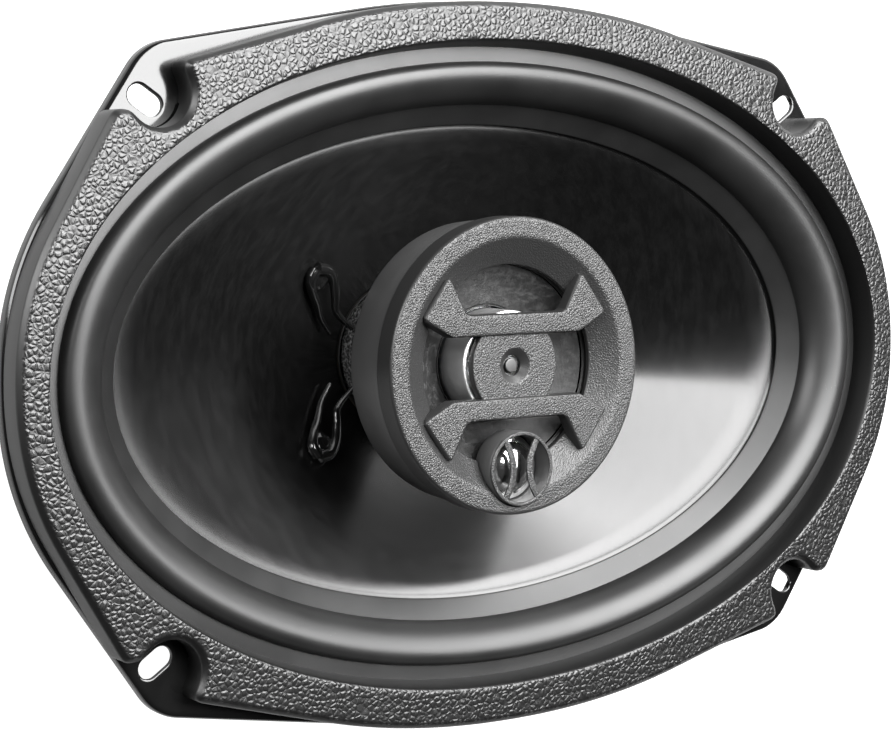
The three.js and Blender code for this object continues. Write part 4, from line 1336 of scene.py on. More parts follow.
@dataclass
class Basket:
    """The pressed steel basket: flange, bowl with six windows, spider shelf and terminal tab."""

    plan: Plan
    sheet: float = 1.0
    skirt: float = 3.0
    edge_round: float = 1.3
    shelf_radius: float = 50.5
    shelf_width: float = 6.0
    hole_radius: float = 19.9
    window_count: int = 6
    window_span: float = 0.62
    window_foot: float = 0.1
    window_head: float = 0.8
    turns: int = 180
    wall_rows: int = 20

    def flange(self) -> bpy.types.Object:
        """The flat flange with ears, screw slots and a turned-down edge."""
        plan = self.plan
        outer = resampled(plan.eared_loop(0, plan.flange_power, plan.ear_inset, plan.ear_radius), 0.9)
        bowl = plan_loop(grown(plan.oval_inside(plan.bowl_inset, 2.05), 2.0), 360)
        slots = [resampled(plan.slot_loop(*q), 0.45) for q in plan.quadrants]

        def top(points: np.ndarray) -> np.ndarray:
            """The upper face, rounded at its edge and at the slots."""
            edge = roundover(loop_distance(points, outer), self.edge_round)
            holes = np.min([loop_distance(points, s) for s in slots], axis=0)
            return plan.flange_top - edge - roundover(holes, 0.3)

        def bottom(points: np.ndarray) -> np.ndarray:
            """The lower face, and the foot of the turned-down edge."""
            depth = loop_distance(points, outer)
            under = plan.flange_top - self.sheet - roundover(depth - self.sheet, 0.5)
            return np.where(depth < self.sheet + 0.01, plan.flange_top - self.skirt, under)

        edge_rows = (0.06, 0.2, 0.42, 0.7, 1.0, 1.05, 1.3, 1.7, 2.4)
        return relief("flange", outer, [bowl, *slots], edge_rows, (0.1, 0.3, 0.6), 2.6, top, bottom)

    def bowl(self) -> bpy.types.Object:
        """The bowl under the flange, with its windows, shelf and floor."""
        plan = self.plan
        rim = plan.oval_inside(plan.bowl_inset, 2.05)
        shelf = plan.motor_top + plan.shelf_rise
        floor = plan.motor_top + self.sheet
        head, foot = grown(rim, -1.7), circle(self.shelf_radius)
        head_z, foot_z = plan.flange_top - 2, shelf + self.sheet
        line = [(grown(rim, 2.0), plan.flange_top), (grown(rim, -0.2), plan.flange_top, 1.4)]
        for share in np.linspace(1, 0, self.wall_rows + 1):
            line.append((mixed(foot, head, share), foot_z + (head_z - foot_z) * share))
        wall_radius = self.shelf_radius - self.shelf_width
        line += [
            (self.shelf_radius - 1.2, shelf), (wall_radius, shelf, 1.2),
            (wall_radius - 1.5, floor, 1.2), (self.hole_radius, floor),
        ]
        rows = section_rows(line, self.turns, loop=False, cuts=3)
        turns, count = rows.shape[:2]
        index = np.arange(turns * count).reshape(turns, count)
        height = rows[..., 2]
        low_z = foot_z + (head_z - foot_z) * self.window_foot
        high_z = foot_z + (head_z - foot_z) * self.window_head
        pitch = TURN / self.window_count
        faces = []
        for i in range(turns):
            angle = (i + 0.5) * TURN / turns
            off = abs((angle + pitch / 2) % pitch - pitch / 2)
            for j in range(count - 1):
                level = (height[i, j] + height[i, j + 1]) / 2
                if off < self.window_span / 2 and low_z < level < high_z:
                    continue
                k = (i + 1) % turns
                faces.append((index[i, j], index[k, j], index[k, j + 1], index[i, j + 1]))
        obj = linked("bowl", plain_mesh("bowl", rows.reshape(-1, 3), faces))
        wall = obj.modifiers.new("wall", "SOLIDIFY")
        wall.thickness = self.sheet * MM
        wall.offset = -1
        smooth = obj.modifiers.new("smooth", "SUBSURF")
        smooth.levels = smooth.render_levels = 1
        return settle(obj, 50)

    def tab(self) -> bpy.types.Object:
        """The tab that carries the terminal board."""
        reach = -low("terminal_board", 0) - 7
        half = (high("terminal_board", 1) - low("terminal_board", 1)) / 2 + 1
        inner = self.shelf_radius - 3
        top = self.plan.motor_top + self.plan.shelf_rise
        near = [(-reach, 2 - half), (2 - reach, -half), (-inner, -half)]
        loop = np.array([*near, *[(x, -y) for x, y in near[::-1]]])
        made = prism("tab", loop, top - self.sheet, top)
        bevel_where(made, lambda a, b: abs(a.z - b.z) < 0.1, 0.25, 2)
        return made

    def build(self) -> None:
        """Builds and dresses the basket."""
        parts = [self.flange(), self.bowl(), self.tab()]
        dress(merged("pressed_basket", parts), Finishes.flange, ["basket"])


def merged(name: str, parts: Sequence[bpy.types.Object]) -> bpy.types.Object:
    """Puts the meshes of several objects into one, without changing them.

    Args:
        name: The new piece's name.
        parts: The objects, which are removed.

    Returns:
        The new object.
    """
    work = bmesh.new()
    for part in parts:
        work.from_mesh(part.data)
    mesh = bpy.data.meshes.new(name)
    work.to_mesh(mesh)
    work.free()
    for part in parts:
        bpy.data.objects.remove(part)
    mark_sharp(mesh)
    return linked(name, mesh)


# ---------- Trim ring ----------


@dataclass
class TrimRing:
    """The moulded ring over the flange, with a pocket round each screw slot."""

    plan: Plan
    outer_wall: float = 6.0
    outer_top: float = 7.2
    inner_top: float = 7.4
    bevel: float = 1.2
    inner_inset: tuple[float, float] = (7.3, 9.1)
    pocket_radius: float = 7.2
    pocket_shift: tuple[float, float] = (-0.5, 1.4)
    pocket_angles: tuple[float, float] = (140.0, 331.0)

    def pocket_path(self, sx: int, sy: int) -> np.ndarray:
        """The wall of one screw pocket, from one side of its mouth to the other."""
        first, last = (math.radians(a) for a in self.pocket_angles)
        arc = np.linspace(first, last, 60)
        path = self.pocket_radius * np.stack([np.cos(arc), np.sin(arc)], -1)
        up = np.column_stack([np.full(60, path[0, 0]), np.linspace(40, path[0, 1], 60)])
        out = np.linspace(path[-1], (40, path[-1, 1] + 1.5), 60)
        whole = np.vstack([up[:-1], path, out[1:]])
        return (whole + self.plan.slot_centre() + self.pocket_shift) * (sx, sy)

    def outer_loop(self) -> np.ndarray:
        """The ring's outer loop, going in and out of its four pockets."""
        plan = self.plan
        blank = resampled(plan.eared_loop(plan.trim_margin, plan.trim_power, plan.trim_corner, 1.0), 0.4)
        loop = blank
        for sx, sy in plan.quadrants:
            path = self.pocket_path(sx, sy)
            opening = np.vstack([path, [path[-1] + (60 * sx, 60 * sy), path[0] + (60 * sx, 60 * sy)]])
            cut = inside_loop(loop, opening)
            wall = path[inside_loop(path, blank)]
            start = int(np.argmax(cut & ~np.roll(cut, 1)))
            turned = np.roll(loop, -start, 0)
            kept = turned[int(cut.sum()):]
            if np.linalg.norm(wall[0] - kept[-1]) > np.linalg.norm(wall[-1] - kept[-1]):
                wall = wall[::-1]
            loop = np.vstack([kept, wall])
        return resampled(loop, 0.55, 8)

    def build(self) -> None:
        """Builds and dresses the trim ring."""
        plan = self.plan
        outer = self.outer_loop()
        inner_edge = plan.oval_inside(self.inner_inset, 2.02)
        inner = resampled(plan_loop(grown(inner_edge, -1.0), 720), 0.9)
        foot = plan.flange_top

        def top(points: np.ndarray) -> np.ndarray:
            """The face between the outer bevel and the inner wall."""
            d, e = loop_distance(points, outer), loop_distance(points, inner)
            share = np.clip(d / (d + e + 1e-9), 0, 1)
            face = foot + self.outer_top + (self.inner_top - self.outer_top) * share
            fall = knee(d, self.bevel, self.outer_top - self.outer_wall, 0.16) + roundover(d, 0.3)
            wall = knee(e, 1.0, self.inner_top - 0.95, 0.13)
            return np.maximum(face - fall - wall, foot + 0.9)

        def bottom(points: np.ndarray) -> np.ndarray:
            """The back, with a rebate over the surround's lip."""
            e = loop_distance(points, inner)
            rebate = 2.0 + plan.roll_outer_inset[0] - self.inner_inset[0]
            return np.where(e < rebate, foot + 0.85, foot)

        rows = (0.07, 0.2, 0.42, 0.8, 1.1, 1.3, 1.5, 1.75, 2.3)
        inner_rows = (0.25, 0.5, 0.75, 0.9, 1.05, 1.25, 1.6, 2.4)
        made = relief("trim_ring_moulding", outer, [inner], rows, inner_rows, 1.9, top, bottom)
        dress(made, Finishes.trim, ["trim_ring"])


# ---------- Cone, surround, spider and coil ----------


@dataclass
class Diaphragm:
    """What moves with the voice coil, and the surround and spider that hold it."""

    plan: Plan
    neck_rise: float = 14.0
    rim_drop: float = 6.9
    roll_inner_drop: float = 3.4
    roll_height: float = 4.7
    rubber: float = 0.8
    cone_sheet: float = 0.6
    lip_overlap: float = 0.65
    former_radius: float = 17.3
    eyelet_angle: float = math.pi - 0.59
    eyelet_share: float = 0.31
    wire_radius: float = 0.15

    @property
    def neck_radius(self) -> float:
        """The radius of the cone's neck, glued to the former."""
        return self.former_radius + 0.1

    @property
    def neck_top(self) -> float:
        """The level of the cone's neck."""
        return self.plan.motor_top + self.neck_rise

    @property
    def rim(self) -> Outline:
        """The outline of the cone's visible rim."""
        return self.plan.oval_inside(self.plan.rim_inset)

    def cone_place(self, angle: float, share: float) -> np.ndarray:
        """A point of the cone's front face."""
        radius = float(mixed(circle(self.neck_radius), self.rim, share)(np.array([angle]))[0])
        return np.array([radius * math.cos(angle), radius * math.sin(angle), self.slope_level(share)])

    def slope_level(self, share: float) -> float:
        """The level of the cone's front face at a share of the way up from its neck."""
        return self.neck_top + (self.plan.flange_top - self.rim_drop - self.neck_top) * share

    def cone_normal(self, angle: float, share: float) -> np.ndarray:
        """The cone's front normal at a point."""
        step = 0.01
        round_way = self.cone_place(angle + step, share) - self.cone_place(angle - step, share)
        out_way = self.cone_place(angle, share + step) - self.cone_place(angle, share - step)
        normal = np.cross(out_way, round_way)
        return normal / np.linalg.norm(normal)

    def cone_point(self, angle: float, share: float, lift: float = 0.0) -> np.ndarray:
        """A point lifted off the cone's front face along its normal."""
        return self.cone_place(angle, share) + lift * self.cone_normal(angle, share)

    def build_cone(self) -> None:
        """The glossy oval cone."""
        plan = self.plan
        top = plan.flange_top - self.rim_drop
        lip_rise = self.rim_drop - self.roll_inner_drop
        slope = lip_rise / (plan.rim_inset[0] - plan.roll_inner_inset[0])
        under = top - self.rubber * math.hypot(1, slope) - 0.2
        lip = mixed(self.rim, plan.oval_inside(plan.roll_inner_inset), self.lip_overlap)
        line = [(lip, under + lip_rise * self.lip_overlap), (self.rim, under, 0.6)]
        for share in (0.96, *np.linspace(0.9, 0.1, 9), 0.0):
            line.append((mixed(circle(self.neck_radius), self.rim, share), self.slope_level(share)))
        turned("oval_cone", "cone", Finishes.cone, sheet_section(line, self.cone_sheet), 240, Body.CONE)

    def build_surround(self) -> None:
        """The half-roll rubber surround with its two lips."""
        plan = self.plan
        outer = plan.oval_inside(plan.roll_outer_inset, 2.02)
        inner = plan.oval_inside(plan.roll_inner_inset)
        line = [(grown(outer, 4.4), plan.flange_top + self.rubber)]
        drop = self.rubber + self.roll_inner_drop
        for turn in np.linspace(0, math.pi, 25):
            share = (1 - math.cos(turn)) / 2
            level = plan.flange_top + self.rubber - drop * share + self.roll_height * math.sin(turn)
            line.append((mixed(outer, inner, share), level))
        foot = plan.flange_top - self.rim_drop
        line += [(grown(self.rim, 0.5), foot + 0.42), (grown(self.rim, -0.1), foot)]
        made = swept("roll_surround", sheet_section(line, self.rubber), 360)
        dress(made, Finishes.rubber, ["surround"], None)
        at = points_mm(made)
        angle = np.arctan2(at[:, 1], at[:, 0])
        radius = np.hypot(at[:, 0], at[:, 1])
        bend(made, (outer(angle) - radius) / (outer(angle) - inner(angle)))

    def build_spider(self) -> None:
        """The corrugated cloth spider behind the cone."""
        top = low("spider", 2) + 0.6
        outer = high("spider", 0)
        waved = (self.neck_radius + 3, outer - 3.5)
        radii = np.linspace(outer, self.neck_radius, 90)
        rows = section_rows([(r, top) for r in radii], 120, loop=False)
        made = rows_object("corrugated_spider", rows, loop=False)
        values = {"Inner": waved[0] * MM, "Outer": waved[1] * MM, "Waves": 3.0, "Height": 1.6 * MM}
        Workshop.recipe("corrugation", Finishes.spider).run(made, values)
        wall = made.modifiers.new("wall", "SOLIDIFY")
        wall.thickness = 0.5 * MM
        settle(made)
        dress(made, Finishes.spider, ["spider"], None)
        radius = np.hypot(*points_mm(made)[:, :2].T)
        bend(made, (waved[1] - radius) / (waved[1] - waved[0]))

    def build_coil(self) -> None:
        """The former and the wire wound on it."""
        inner = high("voice_coil_former", 0) - 0.3
        foot, top = levels("voice_coil_former")
        section = ring_section(inner, self.former_radius, foot, top, (0.05,) * 4)
        turned("coil_former", "voice_coil_former", Finishes.film, section, 96, Body.CONE, cuts=1)
        wind_coil(
            "coil_winding", "voice_coil_winding", self.former_radius, self.wire_radius, Body.CONE, Finishes.copper
        )

    def build_joints(self) -> None:
        """The eyelets, glue beads and leads on the front of the cone, and the tinsel leads behind it."""
        for hand, side in HANDS:
            angle = side * self.eyelet_angle
            self.build_eyelet(hand, angle)
            self.build_bead(hand, angle)
            Leads(self, hand, side).build()

    def on_cone(self, obj: bpy.types.Object, angle: float) -> None:
        """Turns and moves a mesh made round Z onto the cone's normal at the eyelet."""
        normal = Vector(self.cone_normal(angle, self.eyelet_share))
        turn = Vector((0, 0, 1)).rotation_difference(normal).to_matrix().to_4x4()
        place = Vector(self.cone_place(angle, self.eyelet_share) * MM)
        obj.data.transform(Matrix.Translation(place) @ turn)

    def build_eyelet(self, hand: str, angle: float) -> None:
        """A brass eyelet through the cone."""
        under = -self.cone_sheet
        section = [
            (0.0, under - 0.8), (2.0, under - 0.8, 0.3), (2.0, under - 0.3, 0.15),
            (1.3, under - 0.3, 0.1), (1.3, 0.3, 0.1), (2.1, 0.3, 0.15), (2.1, 0.8, 0.3),
            (0.0, 0.8),
        ]
        made = swept(f"eyelet_{hand}", section, 32, loop=False)
        self.on_cone(made, angle)
        dress(made, Finishes.brass, [f"cone_eyelet_{hand}"], Body.CONE)

    def build_bead(self, hand: str, angle: float) -> None:
        """A poured bead of glossy glue over the eyelet."""
        section = [
            (0.0, 0.85), (2.6, 0.35, 0.2), (3.3, 0.25, 0.2), (3.1, 1.4, 0.6), (1.8, 2.45, 0.8), (0.0, 2.65)
        ]
        made = swept(f"glue_{hand}", section, 40, loop=False, cuts=5)
        values = {"Depth": 0.9 * MM, "Lumps": 520.0, "Seed": 2.0 + angle}
        Workshop.recipe("rough", Finishes.glue).run(made, values)
        self.on_cone(made, angle)
        dress(made, Finishes.glue, [f"glue_bead_{hand}"], Body.CONE)

    def build(self) -> None:
        """Builds and dresses all of it."""
        self.build_cone()
        self.build_surround()
        self.build_spider()
        self.build_coil()
        self.build_joints()


def wind_coil(name: str, node: str, radius: float, wire: float, body: Body, finish: Finish) -> None:
    """Winds a coil's wire over the space of its CAD node.

    Args:
        name: The piece's name.
        node: The CAD node that it stands for.
        radius: The former's outer radius.
        wire: The wire's radius.
        body: The body that it rides on.
        finish: What the wire looks like.
    """
    foot, top = low(node, 2) + wire, high(node, 2) - wire
    layers = max(1, int((high(node, 0) - radius) / (1.9 * wire)))
    parts = []
    for layer in range(layers):
        blank = new_object(f"layer_{layer}", np.zeros((0, 3)), [])
        values = {
            "Radius": (radius + 0.02 + wire * (1 + 1.9 * layer)) * MM, "Foot": foot * MM,
            "Height": (top - foot) * MM, "Turns": float(int((top - foot) / (2 * wire))),
            "Wire": wire * MM, "Steps": 40, "Sides": 6,
        }
        parts.append(Workshop.recipe("helix", finish).run(blank, values))
    dress(merged(name, parts), finish, [node], body)


@dataclass
class Leads:
    """The leads of one polarity: from the eyelet down to the coil, across to the post, and to its terminal."""

    diaphragm: Diaphragm
    hand: str
    side: int
    radius: float = 0.8
    post_reach: tuple[float, float] = (17.0, 7.1)
    post_rise: float = 6.2

    def route(self, stops: Sequence[tuple[float, float, float]]) -> list[np.ndarray]:
        """Points over the cone, each an angle from the eyelet, a share of the slope and a lift."""
        angle = self.side * self.diaphragm.eyelet_angle
        return [self.diaphragm.cone_point(angle + self.side * turn, share, lift) for turn, share, lift in stops]

    def glued_strand(self, name: str, path: np.ndarray, thick: float, body: Optional[Body]) -> bpy.types.Object:
        """A strand covered in glue, which thins along its way.

        Args:
            name: The kind of lead, for the names of the piece and its node.
            path: The points that its middle follows.
            thick: How many strand radii it starts with.
            body: The body that it rides on, or None to leave it unattached.

        Returns:
            The piece.
        """
        radii = self.radius * (thick - 1.2 * np.linspace(0, 1, len(path)))
        radii[0] *= 0.5
        made = tube(f"{name.split('_')[0]}_strand_{self.hand}", path, radii)
        return dress(made, Finishes.glue, [f"{name}_{self.hand}"], body)

    def build_coil_lead(self) -> None:
        """The strand that runs down the cone to the coil, thick with glue at its upper end."""
        stops = (
            (-0.03, 0.38, 1.0), (0.04, 0.36, 1.4), (0.09, 0.31, 1.6), (0.14, 0.24, 1.6), (0.22, 0.17, 1.4),
            (0.32, 0.09, 1.6),
        )
        self.glued_strand("coil_lead", smooth_path(self.route(stops), 56), 1.9, Body.CONE)

    def build_mid_feed(self) -> None:
        """The strand that leaves the cone for the centre post."""
        stops = (
            (-0.03, 0.38, 1.0), (-0.08, 0.34, 1.8), (-0.06, 0.28, 2.6), (0.02, 0.22, 3.6), (0.12, 0.17, 4.4)
        )
        reach_x, reach_y = self.post_reach
        last = np.array([-reach_x, self.side * reach_y, self.diaphragm.neck_top + self.post_rise])
        path = smooth_path([*self.route(stops), last], 60)
        made = self.glued_strand("mid_feed", path, 2.0, None)
        bend(made, 1.15 - 1.3 * along_path(points_mm(made), path))

    def build_tinsel(self) -> None:
        """The braided lead from the terminal, through the open bowl, to the back of the cone."""
        d = self.diaphragm
        side = self.side
        shelf = d.plan.motor_top + d.plan.shelf_rise
        end = d.cone_point(side * d.eyelet_angle, d.eyelet_share, -d.cone_sheet - 2.2)
        stops = [
            (-70.2, side * 7.5, shelf + 0.9), (-68.4, side * 8, shelf + 3.6), (-61, side * 9.5, shelf + 8),
            (-52, side * 12, shelf + 9.6), (-42, side * 15.5, shelf + 8.2), (-34, side * 18.2, shelf + 8.6),
            tuple(end),
        ]
        path = smooth_path(stops, 110)
        made = tube(f"braided_lead_{self.hand}", path, np.full(110, self.radius), 12)
        dress(made, Finishes.braid, [f"tinsel_lead_{self.hand}"], None)
        bend(made, along_path(points_mm(made), path))

    def build(self) -> None:
        """Builds and dresses the three leads."""
        self.build_coil_lead()
        self.build_mid_feed()
        self.build_tinsel()


def along_path(points: np.ndarray, path: np.ndarray) -> np.ndarray:
    """How far along a path each point lies, from 0 to 1."""
    nearest = np.linalg.norm(points[:, None] - path[None], axis=-1).argmin(1)
    run = np.concatenate([[0], np.cumsum(np.linalg.norm(np.diff(path, axis=0), axis=1))])
    return run[nearest] / run[-1]


# ---------- Motor ----------


@dataclass
class Motor:
    """The magnet and its steel, the rivets that hold the basket, and the centre stud with its nut."""

    plan: Plan
    stud_hole: float = 2.0
    recess_radius: float = 7.0
    recess_depth: float = 6.0
    nut_flats: float = 7.0
    thread_pitch: float = 0.7
    rivet_head: float = 3.0
    magnet_bore: float = 25.0
    plate_bore: float = 18.4
    pole_gap: float = 0.8

    def build(self) -> None:
        """Builds and dresses the motor."""
        plate, pole = high("pole_yoke", 0), high("voice_coil_former", 0) - self.pole_gap
        plate_top, ring_top = levels("ferrite_magnet")
        pole_top = high("pole_yoke", 2)
        turned("yoke", "pole_yoke", Finishes.zinc, [
            (self.recess_radius, 0, 0.4), (plate, 0, 1.1), (plate, plate_top, 0.3), (pole, plate_top, 0.3),
            (pole, pole_top, 0.7), (self.stud_hole, pole_top, 0.2), (self.stud_hole, self.recess_depth, 0.2),
            (self.recess_radius, self.recess_depth, 0.4),
        ], 144)
        ferrite = (self.magnet_bore, high("ferrite_magnet", 0), plate_top, ring_top, (0.6, 1.3, 1.3, 0.6))
        turned("ferrite_ring", "ferrite_magnet", Finishes.ferrite, ring_section(*ferrite), 144)
        front = (self.plate_bore, high("top_plate", 0), ring_top, self.plan.motor_top, (0.2, 0.5, 0.7, 0.2))
        turned("front_plate", "top_plate", Finishes.zinc, ring_section(*front), 144)
        self.build_rivets()
        self.build_stud()
        self.build_nut()

    def build_rivets(self) -> None:
        """Four rivets whose domed heads stand on the basket's floor."""
        foot = self.plan.motor_top + 1.0
        centre = np.array([middle("plate_rivet_1", k) for k in (0, 1)])
        head = self.rivet_head
        blank = swept("plate_rivets", [
            (0, foot), (head, foot, 0.15), (head - 0.1, foot + 0.6, 0.5), (head - 1.3, foot + 1.1, 0.8),
            (0, foot + 1.1),
        ], 24, loop=False)
        first = math.atan2(centre[1], centre[0])
        values = {"Count": 4, "Radius": float(np.linalg.norm(centre)) * MM, "First angle": first}
        Workshop.recipe("copies", Finishes.zinc).run(blank, values)
        dress(blank, Finishes.zinc, [f"plate_rivet_{i}" for i in range(1, 5)])

    def build_stud(self) -> None:
        """The threaded stud and its washer."""
        foot, top = levels("centre_stud")
        radius = high("centre_stud", 0)
        core = swept("core", ring_section(0, radius - 0.2, foot, top, (0, 0.4, 0.4, 0)), 40, loop=False)
        thread = new_object("thread", np.zeros((0, 3)), [])
        run = top - foot - 0.9
        values = {
            "Radius": (radius - 0.22) * MM, "Foot": (foot + 0.4) * MM, "Height": run * MM,
            "Turns": float(int(run / self.thread_pitch)), "Wire": 0.2 * MM, "Steps": 22, "Sides": 5,
        }
        Workshop.recipe("helix", Finishes.stud).run(thread, values, 30)
        dress(merged("threaded_stud", [core, thread]), Finishes.stud, ["centre_stud"])
        reach, (foot, top) = high("stud_washer", 0), levels("stud_washer")
        disc = ring_section(self.stud_hole, reach, foot, top, (0.1, 0.2, 0.2, 0.1))
        turned("washer", "stud_washer", Finishes.zinc, disc, 48)

    def build_nut(self) -> None:
        """The chamfered hexagon nut."""
        foot, top = levels("stud_nut")
        corner = self.nut_flats / math.sqrt(3)
        nut = prism("hex_nut", plan_loop(circle(corner), 6), foot, top)
        chamfer = swept("chamfer", [
            (0, foot), (corner - 0.35, foot), (corner + 0.3, foot + 0.4), (corner + 0.3, top), (0, top),
        ], 48, loop=False)
        combine(nut, [chamfer], "INTERSECT")
        hole = swept("hole", ring_section(0, self.stud_hole, foot - 1, top + 1, (0,) * 4), 40, loop=False)
        combine(nut, [hole], "DIFFERENCE")
        dress(nut, Finishes.zinc, ["stud_nut"])


# ---------- Centre post, housing and bezel ----------


@dataclass
class CentrePost:
    """The moulded post through the coil, its foam ring and the housing on top of it."""

    plan: Plan
    hole: float = 2.0
    wall: float = 1.8
    feed_hole: float = 1.6
    foot_radius: float = 15.0
    stem_radius: float = 10.8

    def build(self) -> None:
        """Builds and dresses the post."""
        foot, top = levels("post_stem")
        turned("stem", "post_stem", Finishes.housing, [
            (self.hole, foot, 0.1), (self.foot_radius, foot, 0.3), (self.foot_radius, foot + 2, 0.5),
            (self.stem_radius, foot + 3, 0.8), (self.stem_radius, top, 0.1), (self.hole, top, 0.1),
        ], 96)
        self.build_foam()
        self.build_housing()

    def build_foam(self) -> None:
        """The torn-edged foam ring round the stem."""
        foot, top = levels("foam_seal")
        outside, inside = high("foam_seal", 0) - 0.1, self.stem_radius + 0.15
        wall = [(outside, z) for z in np.linspace(foot + 0.5, top - 0.5, 24)]
        cap = [(r, top) for r in np.linspace(outside - 0.5, inside, 14)]
        base = [(r, foot) for r in np.linspace(inside, outside - 0.5, 5)]
        made = swept("foam_ring", [*wall, *cap, *base], 260)
        values = {"Depth": 1.6 * MM, "Lumps": 750.0, "Seed": 5.0}
        Workshop.recipe("rough", Finishes.foam).run(made, values, 180)
        dress(made, Finishes.foam, ["foam_seal"])

    def build_housing(self) -> None:
        """The cup that holds the midrange driver."""
        back, front = levels("post_housing")
        outside = high("post_housing", 0)
        narrow = outside - 1.0
        made = swept("driver_housing", [
            (self.hole, back, 0.2), (narrow, back, 1.4), (outside, front, 0.2),
            (outside - self.wall, front, 0.2), (narrow - self.wall, back + self.wall, 1.0),
            (self.hole, back + self.wall, 0.2),
        ], 160)
        loops = [plan_loop(circle(self.feed_hole), 24) + (-self.stem_radius - 3, side * 6) for side in (-1, 1)]
        combine(made, [prism("feed_hole", loop, back - 1, back + 4) for loop in loops], "DIFFERENCE")
        dress(made, Finishes.housing, ["post_housing"])


@dataclass
class Bezel:
    """The front ring with its two bow-tie bars and the hub that the stud holds."""

    plan: Plan
    ring_width: float = 4.5
    funnel_width: float = 6.3
    mouth_fall: float = 4.2
    lip: float = 1.2
    bar_inner: float = 7.0
    bar_outer: float = 11.8
    bar_end_gap: float = 4.3
    wing_depth: float = 8.2
    bar_thickness: float = 3.6
    bar_bevel: float = 0.85
    hub_radius: float = 11.4
    hub_drop: float = 1.2
    hub_thickness: float = 2.0
    hub_hole: float = 2.3
    countersink: float = 4.1
    countersink_depth: float = 1.5
    pod_clearance: float = 0.3

    def ring(self, radius: float, foot: float, top: float) -> bpy.types.Object:
        """The ring and its funnel down to the midrange cone."""
        lip = radius - self.ring_width
        mouth = lip - self.funnel_width
        return swept("bezel_ring", [
            (radius - 4.2, foot, 0.2), (radius, foot, 0.35), (radius, top, 1.15),
            (lip, top, 0.7), (mouth, top - self.mouth_fall, 0.3),
            (mouth, top - self.mouth_fall - self.lip, 0.3),
        ], 240, cuts=6)

    def bar(self, side: int, lip: float, top: float) -> bpy.types.Object:
        """One bow-tie bar with bevelled upper edges."""
        reach = lip - self.bar_end_gap
        notch, tip = 0.525 * reach, 0.71 * reach
        wing = self.bar_outer + self.wing_depth
        outer = self.bar_outer
        half = [
            (tip - 0.2, self.bar_inner), (reach - 0.6, outer - 1.2), (reach - 0.2, outer), (tip + 1.2, wing - 0.3),
            (tip, wing), (notch + 0.6, outer + 0.6), (notch - 0.6, outer),
        ]
        loop = np.array([*half, *[(-x, y) for x, y in half[::-1]]]) * (1, side)
        if side < 0:
            loop = loop[::-1]
        made = prism("bar", loop, top - self.bar_thickness, top - 0.05)
        at_top = (top - 0.05) - 0.02
        bevel_where(made, lambda a, b: a.z > at_top and b.z > at_top, self.bar_bevel, 2)
        below = at_top - self.bar_bevel
        bevel_where(made, lambda a, b: min(a.z, b.z) < below and abs(a.z - b.z) > 1, 0.25, 2)
        return made

    def build(self) -> None:
        """Builds and dresses the bezel."""
        radius, (foot, top) = high("bezel", 0), levels("bezel")
        lip = radius - self.ring_width
        face = top - self.hub_drop
        hub = swept("hub", [
            (self.hub_hole, face - self.hub_thickness, 0.15), (self.hub_radius, face - self.hub_thickness, 0.3),
            (self.hub_radius, face, 0.55), (self.countersink, face, 0.3),
            (self.hub_hole, face - self.countersink_depth, 0.2),
        ], 120)
        centre = [middle("supertweeter_shell", k) for k in (0, 1)]
        loop = plan_loop(circle(high("supertweeter_shell", 0) + self.pod_clearance), 96) + centre
        made = self.ring(radius, foot, top)
        combine(made, [hub, self.bar(1, lip, top), self.bar(-1, lip, top)])
        combine(made, [prism("pod_cut", loop, foot - 2, top + 2)], "DIFFERENCE")
        made.name = "front_bezel"
        flat_faces(made)
        dress(made, Finishes.bezel, ["bezel"])


# ---------- Midrange driver ----------


